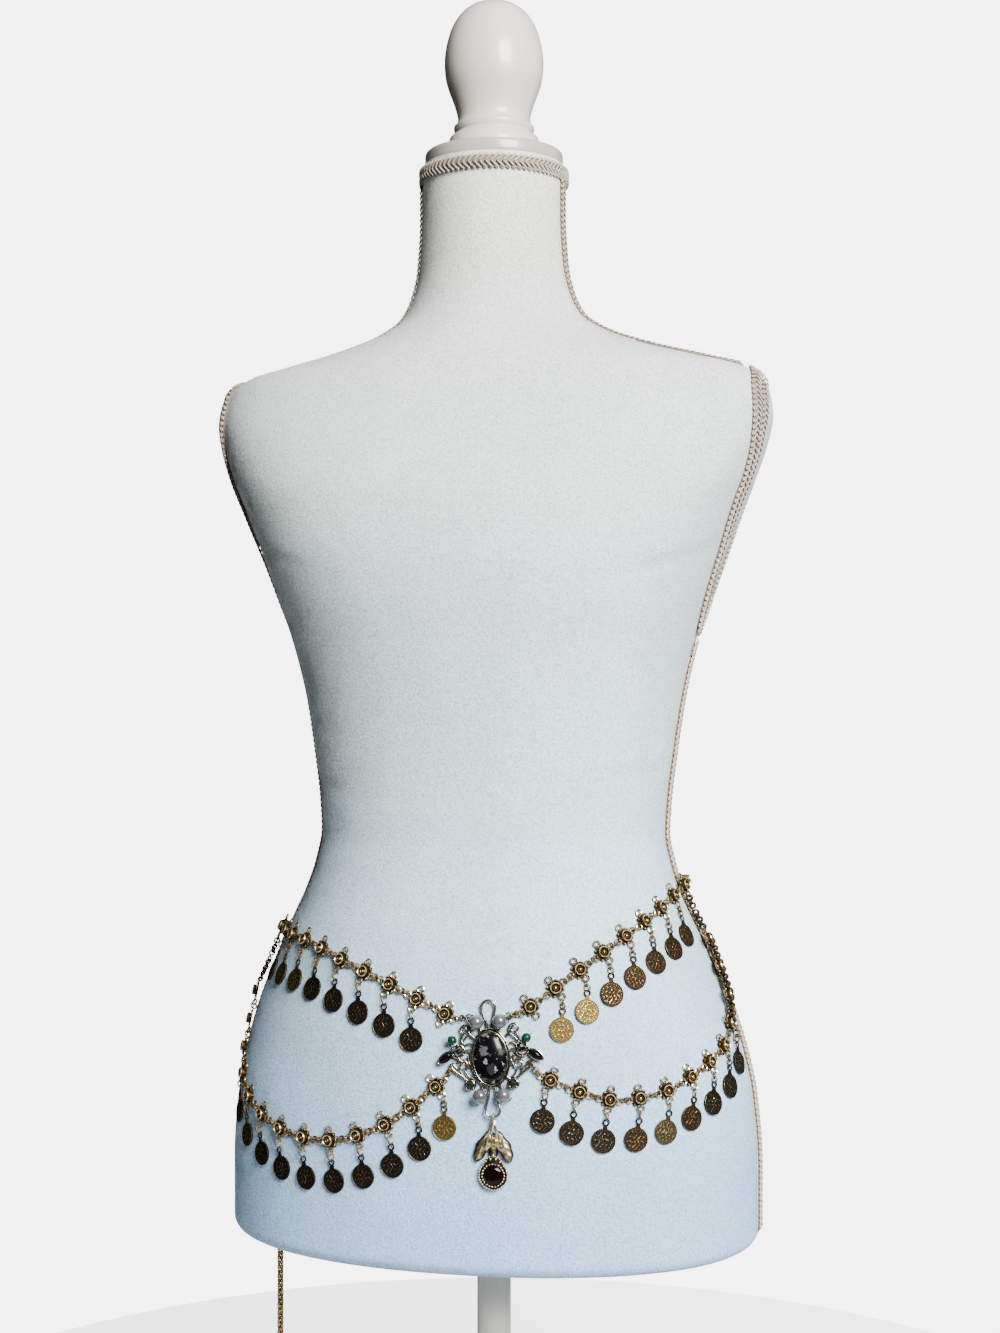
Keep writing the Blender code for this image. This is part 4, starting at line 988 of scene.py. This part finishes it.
def makeRow(name):
    row, side, middle, loopPlace = rows[name], sideOf(name), belt["middle"], belt["loopPlace"]
    chance = random.Random(name)
    links = linkSpots(name)
    label = "row" + name[3:].replace("_", " ").title().replace(" ", "")
    faces = [link.facing(0, 0, 0, radians(chance.uniform(-4, 4))) for link in links]
    pieces = [stamped(label + "Rosettes", faces, rosetteStamp(), "gold", sharp=50)]
    rings, rising = RingRun(chance), RingRun(chance)
    for index, (here, there) in enumerate(zip(links, links[1:])):
        rings.add(here.at(side * loopPlace, 0, middle), there.at(-side * loopPlace, 0, middle), here.out)
        if index >= row["coins"][-1] and name == "row_lower_right":      # doubled where it rises
            for shift in (-1.5, 1.5):
                rising.add(here.at(0, shift, middle + 1.6), there.at(0, shift, middle + 1.6), here.out, 2.3)
    holderX, holderY = broochParts["upperHolder" if "upper" in name else "lowerHolder"]
    holder = broochSpot().at(side * holderX, holderY, broochParts["wireDepth"])
    rings.add(holder, links[0].at(-side * loopPlace, 0, middle), links[0].out)
    if "lower" in name:
        last, junction = links[-1], linkSpots(name.replace("lower", "upper"))[-1]
        resting = beltPoint(*placeOf((last.origin + junction.origin) / 2), 0.6)
        for shift in (-1.3, 1.3) if side > 0 else (0.0,):
            aside = last.up * shift * mm
            rising.add(last.at(side * loopPlace, 0, middle) + aside, resting + aside, last.out, 2.4)
            rising.add(resting + aside, junction.at(0, -loopPlace, middle) + aside, last.out, 2.4)
    hanging = {index: coinSpot(links[index]) for index in row["coins"]}
    for index, spot in hanging.items():
        rings.add(links[index].at(0, -loopPlace - 1.0, middle), spot.at(0, belt["eyelet"] + 0.7, 0.8),
                  spot.out)
    pieces.append(tarnish(ringed(label + "Rings", rings.spots, 1.85, 0.5, "gold", rings.sizes), evenly(0.3)))
    if rising.spots:
        pieces.append(tarnish(ringed(label + "Rising", rising.spots, 1.75, 0.6, "gold"), evenly(0.45)))
    special = {index: finishName for finishName, places in row["special"].items() for index in places}
    for finishName in ("bronze", "brownGold", "paleBronze", "brightGold"):
        for variant in range(3):
            spots = [spot for index, spot in hanging.items()
                     if special.get(index, "bronze") == finishName and index % 3 == variant]
            if spots:
                pieces.append(stamped(label + "Coins", spots, coinStamp(1.3 + 2.1 * variant), finishName,
                                      sharp=60))
    settle(join(label, pieces), "gold", name)


# brooch: places in millimetres from its centre, right and up as seen from the front

broochParts = {
    "angle": 11.3, "height": 13.2, "roll": 3.5, "wire": 0.8, "wireDepth": 1.0, "seat": 1.9,
    "bezelOuter": (11.8, 17.4), "bezelInner": (10.5, 15.9), "bezelDepth": 3.8, "stoneDepth": 7.4,
    "pearl": 4.4, "pearlPlace": (7.0, 21.7), "clear": 3.7, "clearPlace": (19.2, 4.6),
    "dark": 2.7, "darkPlace": (13.0, -15.3), "bead": 2.9, "beadPlace": (22.3, 11.4),
    "navettePlace": (27.1, 1.2), "navetteSize": (5.0, 2.5), "navetteTilt": 35.0,
    "upperCurl": (14.9, 17.0), "lowerCurl": (16.8, -3.8), "curl": 3.5,
    "upperHolder": (11.8, 24.2), "lowerHolder": (23.0, -4.4), "holder": 1.9, "rim": 0.62,
    "topLoop": ((-2.0, 15.5), (-1.6, 20.5), (-4.0, 28.5), (-3.2, 32.6), (0.0, 34.0), (3.2, 32.6), (4.0, 28.5),
                (1.6, 20.5), (2.0, 15.5)),
    "bottomLoop": ((-1.6, -15.5, 1.0), (-2.2, -22.0, 1.4), (-4.2, -29.5, 2.1), (-3.2, -33.4, 2.4),
                   (0.0, -34.4, 2.4), (3.2, -33.4, 2.4), (4.2, -29.5, 2.1), (2.2, -22.0, 1.4),
                   (1.6, -15.5, 1.0)),
    # connecting wires of the right side by thickness
    "wires": {
        0.75: (((4.6, 13.8), (5.6, 17.2), (7.0, 21.7)), ((4.6, -13.8), (5.8, -17.4), (7.0, -21.7)),
               ((10.9, 3.4), (13.4, 4.6), (17.2, 4.6))),
        0.7: (((8.2, 11.2), (10.6, 13.2), (12.6, 15.6)), ((8.3, -10.3), (10.6, -12.4), (13.0, -15.0)),
              ((24.2, -2.4), (23.0, -6.0), (18.0, -10.0), (13.0, -14.0))),
        0.65: (((16.2, 14.8), (17.2, 11.5), (16.4, 8.4), (18.6, 5.6)),
               ((19.0, 3.1), (19.4, 0.4), (17.2, -1.6))),
        0.6: (((8.0, 22.2), (10.2, 23.6)), ((18.0, -5.4), (20.2, -5.9), (22.6, -3.2)),
              ((22.0, 3.6), (24.0, 2.6), (25.4, 2.4))),
        0.55: (((13.6, 1.6), (13.0, -2.6), (10.0, -6.4)),),
        0.5: (((12.2, 14.2), (15.2, 11.6), (18.3, 7.5)), ((11.4, 8.6), (13.8, 8.6), (16.6, 6.6)),
              ((18.6, -6.8), (16.4, -11.4), (12.4, -14.0)), ((15.6, -7.0), (13.6, -10.4), (9.6, -12.6)),
              ((19.8, 0.9), (18.4, -0.8), (16.8, -1.8)), ((11.8, -1.0), (13.2, -3.6), (14.2, -6.2))),
    },
}


def broochSpot():
    place = broochParts["angle"], broochParts["height"]
    normal = formNormal(*place)
    level = Vector((0, 0, 1)).cross(normal)
    upright = Spot(onForm(*place, belt["lift"]), level, normal.cross(level))
    return upright.facing(0, 0, 0, radians(broochParts["roll"]))


for rowName in rows:
    makeRow(rowName)
    print("row made:", rowName)


def smoothPath(points):
    return curveThrough([p if len(p) > 2 else (*p, broochParts["wireDepth"]) for p in points], 5)


def curlPath(x, y, radius, turns, start, hand):      # flat spiral
    steps = int(22 * turns)
    path = []
    for k in range(steps + 1):
        t = k / steps
        reach = radius * (1 - 0.72 * t)
        angle = start + hand * 2 * pi * turns * t
        path.append((x + reach * cos(angle), y + reach * sin(angle), broochParts["wireDepth"] + 0.5 * t))
    return path


def cup(spot, x, y, levels, sides=20):      # each level a radius and its distance out
    return spot.rings([(oval(x, y, radius, sides=sides), out) for radius, out in levels])


def ball(spot, x, y, out, radius, sides=28, rows=16):
    polars = [pi * k / rows for k in range(1, rows)]
    return cup(spot, x, y, [(radius * sin(a), out - radius * cos(a)) for a in polars], sides)


def brilliant(spot, x, y, radius, seat, height, sides=8):      # faceted round stone
    shape = ((0.82, 0.0, 0.0), (1.0, 0.35, 0.5), (0.98, 0.45, 0.0), (0.78, 0.75, 0.5), (0.5, 0.97, 0.0),
             (0.2, 1.0, 0.5))
    return spot.rings([(oval(x, y, radius * share, sides=sides, turn=turn), seat + height * rise)
                       for share, rise, turn in shape])


def prongSpots(spot, x, y, radius, out, count, start=0.5):
    return [spot.facing(px, py, out) for px, py in oval(x, y, radius, radius, count, start)]


def scaled(outline, share, x=0.0, y=0.0):      # about a point
    return [(x + (px - x) * share, y + (py - y) * share) for px, py in outline]


def navetteOutline(side, scale):
    x, y = broochParts["navettePlace"]
    long, wide = broochParts["navetteSize"]
    tilt = radians(-side * broochParts["navetteTilt"])
    outline = []
    for a in [2 * pi * k / 20 for k in range(20)]:
        px, py = cos(a) * long * scale, sin(a) * (1 - 0.35 * abs(cos(a)) ** 3) * wide * scale
        outline.append((side * x + px * cos(tilt) - py * sin(tilt), y + px * sin(tilt) + py * cos(tilt)))
    return outline


def makeBrooch():
    parts, spot = broochParts, broochSpot()
    outerX, outerY = parts["bezelOuter"]
    innerX, innerY = parts["bezelInner"]
    bezel = ((outerX * 0.94, outerY * 0.96, 0.1), (outerX - 0.5, outerY - 0.5, 0.8),
             (outerX - 0.6, outerY - 0.6, 2.0), (innerX, innerY, 2.6), (innerX - 0.4, innerY - 0.4, 1.7))
    cups = [spot.rings([(oval(0, 0, across, along, 64), out) for across, along, out in bezel])]
    shells = [
        spot.tube(oval(0, 0, outerX - 0.2, outerY - 0.2, 72), parts["rim"], 2.1, 8, True),
        spot.tube(oval(0, 0, innerX - 0.1, innerY - 0.1, 72), parts["rim"] * 0.85, 3.5, 8, True),
        spot.tube(smoothPath(parts["topLoop"]), parts["wire"], sides=10),
        spot.tube(smoothPath(parts["bottomLoop"]), parts["wire"], sides=10),
    ]
    beads, beadSizes = [], []

    def addBeads(size, *spots):
        beads.extend(spots)
        beadSizes.extend([size] * len(spots))

    for side, word in ((-1, "Left"), (1, "Right")):
        def put(point):
            return side * point[0], point[1]

        def hoop(x, y, radius, thick, out, sides):
            shells.append(spot.tube(oval(x, y, radius, sides=sides), thick, out, 6, True))

        def stone(name, shell, finishName, slot, node=None, sharp=None):
            settle(makeObject(name, shell, finishName, sharp), slot, *([node] if node else []))

        clear, dark, bead = put(parts["clearPlace"]), put(parts["darkPlace"]), put(parts["beadPlace"])
        for level, place in ((-1, "lower"), (1, "upper")):      # pearls in cups with a rope-like collar
            x, y = side * parts["pearlPlace"][0], level * parts["pearlPlace"][1]
            cups.append(cup(spot, x, y, ((1.6, 0.1), (2.9, 0.5), (3.6, 2.0), (3.3, 2.0), (2.4, 1.4))))
            start = -0.4 if side > 0 else pi + 0.4
            turns = [start + level * side * 0.11 * k for k in range(15)]
            curl = [(x + 4.75 * cos(a), y + 4.75 * sin(a), 1.6 + 0.12 * k) for k, a in enumerate(turns)]
            shells.append(spot.tube(curl, 0.42, sides=6))
            stone(place + word + "Pearl", ball(spot, x, y, parts["seat"] + parts["pearl"], parts["pearl"]),
                  "pearl", "pearl", "pearl_" + place + "_" + word.lower())
            addBeads(1.1, *prongSpots(spot, x, y, 3.75, 2.0, 3, 0.2 + 0.1 * side * level))
        cups.append(cup(spot, *clear, ((2.6, 0.1), (3.9, 1.0), (4.0, 2.1), (3.5, 2.0))))
        cups.append(cup(spot, *dark, ((1.9, 0.1), (2.9, 1.2), (2.95, 2.9), (2.5, 2.8)), 18))
        cups += [cup(spot, *place, ((3.6, 0.2), (3.6, 0.9))) for place in (clear, dark)]      # dark settings, painted shade round the clear and dark stones
        hoop(*dark, 2.9, 0.4, 3.0, 20)
        hoop(*clear, 3.9, 0.42, 2.2, 20)
        hoop(*bead, 1.5, 0.45, 1.6, 16)
        shells.append(spot.tube([(clear[0] + side * 1.2, clear[1] + 2.4, 1.2), (*bead, 1.2)], 0.6, sides=6))
        shells.append(spot.tube([(*bead, 2.2), (bead[0] + side * 2.2, bead[1] + 1.8, 2.2)], 0.3, sides=6))
        addBeads(1.3, spot.facing(bead[0] + side * 2.6, bead[1] + 2.1, 2.2))
        addBeads(1.25, *prongSpots(spot, *clear, 3.75, 3.0, 6), *prongSpots(spot, *dark, 2.75, 3.6, 4))
        shells.append(spot.tube(navetteOutline(side, 1.06), 0.42, 1.9, 6, True))
        cups.append(spot.rings([(navetteOutline(side, 1.0), out) for out in (0.3, 1.5)]))
        for name, turns, start, hand in (("upperCurl", 1.5, -2.4, -side), ("lowerCurl", 1.3, 0.4, side)):
            start = start if side > 0 else pi - start
            shells.append(spot.tube(curlPath(*put(parts[name]), parts["curl"], turns, start, hand), 0.68))
        for name in ("upperHolder", "lowerHolder"):
            hoop(*put(parts[name]), parts["holder"], 0.5, parts["wireDepth"], 18)
        for thick, paths in parts["wires"].items():
            shells += [spot.tube(smoothPath([put(p) for p in path]), thick * 1.35) for path in paths]

        shape = brilliant(spot, *clear, parts["clear"] - 0.2, parts["seat"], 2.9)
        stone("clearStone" + word, shape, "clear", "clear_stone", "clear_stone_" + word.lower(), 12)
        shape = brilliant(spot, *dark, parts["dark"] - 0.15, 2.6, 2.4)
        stone("darkStone" + word, shape, "dark", "black_stone", sharp=12)
        shape = ball(spot, *bead, 1.9 + parts["bead"] * 0.8, parts["bead"], 14, 9)
        stone("greenBead" + word, shape, "green", "black_stone")
        outline = navetteOutline(side, 0.95)
        top, tip = (scaled(outline, share, *put(parts["navettePlace"])) for share in (0.62, 0.248))
        shape = spot.rings([(outline, 1.9), (outline, 2.67), (top, 3.77), (tip, 4.1)])
        stone("navette" + word, shape, "jet", "black_stone", "navette_" + word.lower(), 70)
    # painted shade and highlight: wires darker underneath, towards the velvet, and brighter on top
    wires = tarnish(makeObject("broochWires", together(shells), "pewter", 55), outwards(spot, 1.325, 0.75))
    # painted shade: the cups, settings and the channel of the bezel evenly dark
    shadedCups = tarnish(makeObject("broochCups", together(cups), "pewter", 55), evenly(0.85))
    tips = tarnish(beaded("broochTips", beads, 0.46, "pewter", beadSizes), evenly(0.0))
    settle(join("broochFrame", [wires, shadedCups, tips]), "pewter", "brooch_frame")

    rise = parts["stoneDepth"] - 3.3
    levels = [(1.0, parts["seat"]), (1.0, 3.3)]
    levels += [(cos(radians(a)), 3.3 + rise * sin(radians(a))) for a in (10, 22, 34, 46, 57, 67, 76, 83, 88)]
    dome = spot.rings([(oval(0, 0, (innerX - 0.35) * share, (innerY - 0.35) * share, 48), out)
                       for share, out in levels])
    settle(makeObject("broochStone", dome, "blackStone"), "black_stone", "brooch_stone")


makeBrooch()
print("brooch made")

# pendant: millimetres below its pivot on the brooch's bottom loop

pendantParts = {
    "ring": 2.1, "ringWire": 0.45, "ringDrop": 0.2, "back": -2.2, "centre": -34.6, "bezel": 8.6,
    "bezelTop": -23.4, "stone": 5.6, "rimBeads": 36,
    # twisted stems: across at the top and further down, and how far out
    "stems": ((-0.9, 1.1, 0.2), (0.9, -1.1, 0.5), (0.2, 1.9, 0.4), (-0.3, -2.0, 0.3)),
    # each leaf's middle, tilt, size and height off the back
    "leaves": ((0.0, -17.0, 0.0, 0.9, 0.2), (-6.4, -17.0, 22.0, 1.12, 0.4), (6.4, -17.0, -22.0, 1.12, 0.5),
               (-3.0, -13.8, 13.0, 0.72, 2.0), (3.4, -13.8, -15.0, 0.74, 2.1), (0.2, -14.6, -2.0, 0.5, 3.0)),
}


def pendantSpot():
    pivot = broochSpot().at(*broochParts["bottomLoop"][4])
    normal = formNormal(broochParts["angle"], broochParts["height"] - 5.5)
    level = Vector((0, 0, 1)).cross(normal)
    return Spot(pivot, level, normal.cross(level))


def leafShell(spot, x, y, tilt, scale, low):      # lobed leaf with a raised midrib and side veins
    turn = radians(tilt)
    rowsAlong, rowsAcross = 22, 13
    top, bottom = [], []
    for i in range(rowsAlong + 1):
        t = i / rowsAlong
        v = 1.0 - 2.15 * t
        lobes = 1 + 0.1 * sin(t * 17.0)
        half = 3.9 * sin(pi * min(1.0, t * 0.93 + 0.03)) ** 0.75 * lobes
        half *= 0.55 + 0.6 * t if t < 0.7 else 0.97
        half = max(half, 0.25) * (1.0 if t < 0.97 else 0.5)
        for j in range(rowsAcross):
            s = 2 * j / (rowsAcross - 1) - 1
            along, across = v * 8.2, s * half
            px = x + (across * cos(turn) - along * sin(turn)) * scale
            py = y + (across * sin(turn) + along * cos(turn)) * scale
            rib = 0.7 * exp(-(s * 7) ** 2) + 0.22 * cos(t * 26 - abs(s) * 5) * (1 - abs(s) * 0.5)
            arch = 1.5 * (1 - s * s) + rib
            top.append(spot.at(px, py, low + 0.7 + arch * min(1.0, 8 * t, 8 * (1 - t) + 0.15)))
            bottom.append(spot.at(px, py, low))
    points = top + bottom
    shift = len(top)
    faces = []
    for i in range(rowsAlong):
        for j in range(rowsAcross - 1):
            a, b = i * rowsAcross + j, i * rowsAcross + j + 1
            c, d = a + rowsAcross, b + rowsAcross
            faces += [(a, b, d, c), (shift + a, shift + c, shift + d, shift + b)]
    edge = [i * rowsAcross for i in range(rowsAlong + 1)]
    edge += [rowsAlong * rowsAcross + j for j in range(1, rowsAcross)]
    edge += [i * rowsAcross + rowsAcross - 1 for i in range(rowsAlong - 1, -1, -1)]
    edge += list(range(rowsAcross - 2, 0, -1))
    for a, b in zip(edge, edge[1:] + edge[:1]):
        faces.append((a, b, shift + b, shift + a))
    return points, faces


def makePendant():
    parts, spot = pendantParts, pendantSpot()
    back, centre, bezel = parts["back"], parts["centre"], parts["bezel"]
    ring = [spot.at(0, y - parts["ringDrop"], out) for y, out in oval(0, 0, parts["ring"], sides=20)]
    bright = [tube(ring, parts["ringWire"] * mm, [spot.right] * 20, 8, True)]
    for x0, x1, out in parts["stems"]:
        stem = (x0, -1.9, 0.0), (x1 * 0.6, -4.6, out + 0.2), (x1, -7.4, out), (x1 * 1.7, -11.0, -0.2)
        bright.append(spot.tube(curveThrough(stem, 5), 0.6, sides=6))
    bright.append(spot.tube(oval(0, -3.0, 1.3, 0.9, 14), 0.4, 0.3, 6, True))
    leaves = [leafShell(spot, x, y, -tilt, scale, back + low) for x, y, tilt, scale, low in parts["leaves"]]
    face = back + 1.8
    shoulder = centre + bezel * 0.72
    outline = []
    for x, y in oval(0, centre, bezel, sides=48):      # drawn up to a point under the leaves
        if y > shoulder:
            t = (y - shoulder) / (centre + bezel - shoulder)
            y, x = y + t * (parts["bezelTop"] - centre - bezel), x * (1 + 0.25 * t)
        outline.append((x, y))
    levels = [(scaled(outline, 0.96, 0, centre), back + 0.05), (outline, back + 0.5), (outline, face - 0.3),
              (scaled(outline, 0.95, 0, centre), face)]
    levels += [(oval(0, centre, radius, sides=48), face + out)
               for radius, out in ((6.9, -0.35), (6.3, 0.2), (5.9, 0.3), (5.6, -0.2))]
    pieces = [
        # painted shade: the body under the leaves and round the stone evenly dark, so grains and leaves stand
        # out
        tarnish(makeObject("pendantMetal", spot.rings(levels), "oldGold", 55), evenly(0.85)),
        tarnish(makeObject("pendantStems", together(bright), "oldGold", 55), evenly(0.1)),
        # painted shade: leaves darker the nearer they lie to the back, brighter on the raised ribs
        tarnish(makeObject("pendantLeaves", together(leaves), "oldGold", 60),
                outwards(spot, 0.75 + back * 0.25, 0.25)),
    ]
    beads = [spot.facing(x, y, face + 0.55) for x, y in oval(0, centre, 6.6, sides=23)]
    rim = scaled(outline, 0.985, 0, centre)
    edges = list(zip(rim, rim[1:] + rim[:1]))
    pitch = sum(dist(a, b) for a, b in edges) / parts["rimBeads"]
    travelled, placed = 0.0, 0
    for a, b in edges:
        step = dist(a, b)
        while travelled + step > placed * pitch and placed < parts["rimBeads"]:
            t = (placed * pitch - travelled) / step
            beads.append(spot.facing(a[0] + (b[0] - a[0]) * t, a[1] + (b[1] - a[1]) * t, face + 0.1))
            placed += 1
        travelled += step
    large = ((-1.6, -24.9, 1.3), (1.6, -24.9, 1.3), (0, -22.6, 1.4), (-4.3, -26.2, 1.1), (4.3, -26.2, 1.1))
    sizes = [1.0] * len(beads) + [size for x, y, size in large]
    beads += [spot.facing(x, y, face + 0.7) for x, y, size in large]
    pieces.append(tarnish(beaded("pendantGrains", beads, 0.56, "oldGold", sizes), evenly(0.0)))
    settle(join("pendantBody", pieces), "gold", "pendant_body", body=pendantBody)
    stone = brilliant(spot, 0, centre, parts["stone"] + 0.1, face + 0.3, 2.6, 12)
    settle(makeObject("pendantStone", stone, "garnet", 12), "garnet", "pendant_stone", body=pendantBody)


makePendant()
print("pendant made")

# plain chain round the back, clasp and tail

chains = {
    "pitch": 3.2, "length": 5.2, "width": 4.3, "wire": 0.8, "lift": 1.3,
    "back": ((97.0, 22.8), (125.0, 22.6), (150.0, 22.0), (180.0, 21.2), (210.0, 20.5), (240.0, 19.8),
             (253.6, 19.3)),
    "clasp": ((-106.15, 19.28), (-99.36, 18.95)),
    "tail": ((-90.0, 19.2), (-96.0, 19.25), (-98.9, 18.9), (-100.8, 17.2), (-103.0, 14.5), (-105.4, 10.5),
             (-106.4, 7.0), (-106.6, 4.0)),
    "tailEnd": -12.0,
    "drop": ((0.5, 2.0), (0.9, 1.2), (1.0, 0.4), (2.0, -1.0), (2.8, -2.8), (3.0, -4.4), (2.6, -5.8),
             (1.6, -6.7), (0.6, -7.0)),
}


def chainLine(name, route):      # from a row's last link along a route
    start = linkSpots(name)[-1].at(sideOf(name) * belt["loopPlace"], 0, belt["middle"])
    places = curveThrough((placeOf(start), *route), 10)
    return [start] + [beltPoint(*place, chains["lift"]) for place in places[1:]]


def makeChains():
    back = chained("backChain", chainLine("row_upper_right", chains["back"]), chains, "gold")
    settle(tarnish(back, evenly(0.2)), "gold", "back_chain")
    line = chainLine("row_upper_left", chains["tail"])
    last = line[-1]
    end = form["lift"] + chains["tailEnd"] * cm
    line += [Vector((last.x, last.y, last.z + (end - last.z) * k / 30)) for k in range(1, 31)]
    foot = Spot(Vector((last.x, last.y, end)), Vector((1, 0, 0)), Vector((0, 1, 0)))
    drop = makeObject("tailDrop", cup(foot, 0, 0, chains["drop"]), "gold")
    tail = join("tailChain", [chained("tailLinks", line, chains, "gold"), drop])
    settle(tarnish(tail, evenly(0.2)), "gold", "tail_chain")

    rear, nose = (beltPoint(*place, 1.5) for place in chains["clasp"])
    normal = formNormal(*chains["clasp"][0])
    spot = Spot((rear + nose) / 2, nose - rear, normal.cross(nose - rear))
    front = (nose - rear).length / 2 / mm
    tail = -front
    hook = curveThrough(((tail + 2.6, 0.4), (tail + 4.6, 2.2), (0.5, 2.6), (front - 2.2, 1.9),
                         (front - 0.8, 0.1), (front - 2.0, -1.6), (front - 4.0, -2.0)), 6)
    gate = curveThrough(((tail + 2.6, -0.4), (tail + 4.4, -1.9), (front - 3.6, -2.0)), 6)
    shells = [
        spot.tube(hook, [1.15 - 0.45 * k / (len(hook) - 1) for k in range(len(hook))], sides=10),
        spot.tube(gate, 0.7),
        spot.tube([(tail + x, 0.0) for x in (1.6, 2.4, 3.4)], [0.9, 1.3, 1.2], sides=10),
        spot.tube(oval(tail + 1.0, 0, 1.1, sides=14), 0.4, sides=6, closed=True),
        spot.tube([(tail + 4.4, -2.4), (tail + 3.9, -3.2)], 0.5, sides=6),
    ]
    settle(tarnish(makeObject("clasp", together(shells), "gold", 55), evenly(0.1)), "gold", "clasp")


makeChains()
print("chains and clasp made")


# floor and light

studio = {
    "around": 0.03, "backdrop": 6.0, "floorRadius": 0.5, "aim": (0, 0, 0.55),
    # how far right, ahead and up, size, power and shade
    "lights": {"key": (0.9, -1.85, 1.5, (1.0, 1.1), 214.0, (1.0, 0.985, 0.96)),
               "fill": (-1.5, -1.2, 0.75, (1.0, 1.6), 1.2, (1.0, 0.93, 0.86)),
               "top": (0.056, -0.2165, 2.1, (1.2, 1.2), 6.0, (1, 1, 1)),
               "rim": (1.5, 0.7, 0.9, (0.6, 1.4), 4.0, (1, 1, 1))},
}


def makeFloor():
    mesh = bpy.data.meshes.new("floor")
    rim = [(x, y, 0) for x, y in oval(0, 0, studio["floorRadius"], sides=128)]
    mesh.from_pydata(rim, [], [tuple(range(len(rim)))])
    look = Finish("paleFloor", {"Roughness": 0.9, "Base Color": (0.5, 0.5, 0.5, 1), "Emission Strength": 3.3})
    seen = look.node("ShaderNodeLightPath", out="Is Camera Ray")
    look.feed(Emission_Color=look.mix(seen, (0.03, 0.03, 0.03), (1, 1, 1)))
    mesh.materials.append(look.material)
    newObject("floor", mesh)


def makeLights():
    for name, (across, deep, up, size, power, shade) in studio["lights"].items():
        lamp = bpy.data.lights.new(name, "AREA")
        lamp.shape, lamp.size, lamp.size_y = "RECTANGLE", *size
        lamp.energy, lamp.color = power, shade
        light = newObject(name, lamp)
        light.location = viewRight * across + viewAhead * deep + Vector((0, 0, up))
        light.rotation_euler = (Vector(studio["aim"]) - light.location).to_track_quat("-Z", "Y").to_euler()


def makeWorld():
    world = bpy.data.worlds.new("studio")
    bpy.context.scene.world = world
    world.use_nodes = True
    net = Net(world.node_tree)
    shell = world.node_tree.nodes["Background"]
    towards = net.node("ShaderNodeSeparateXYZ", {}, {0: net.node("ShaderNodeTexCoord", out="Generated")}, "Z")
    soft = net.node("ShaderNodeMapRange", {}, {"Value": towards, "From Min": -0.3, "From Max": 1.0,
                                               "To Min": 0.3, "To Max": 2.5})
    seen = net.node("ShaderNodeLightPath", out="Is Camera Ray")
    strength = soft * studio["around"] * (1 - seen) + seen * studio["backdrop"]
    net.plug(shell, {"Color": (1, 1, 1, 1), "Strength": strength})


makeFloor()
makeLights()
makeWorld()
print("floor and light made")
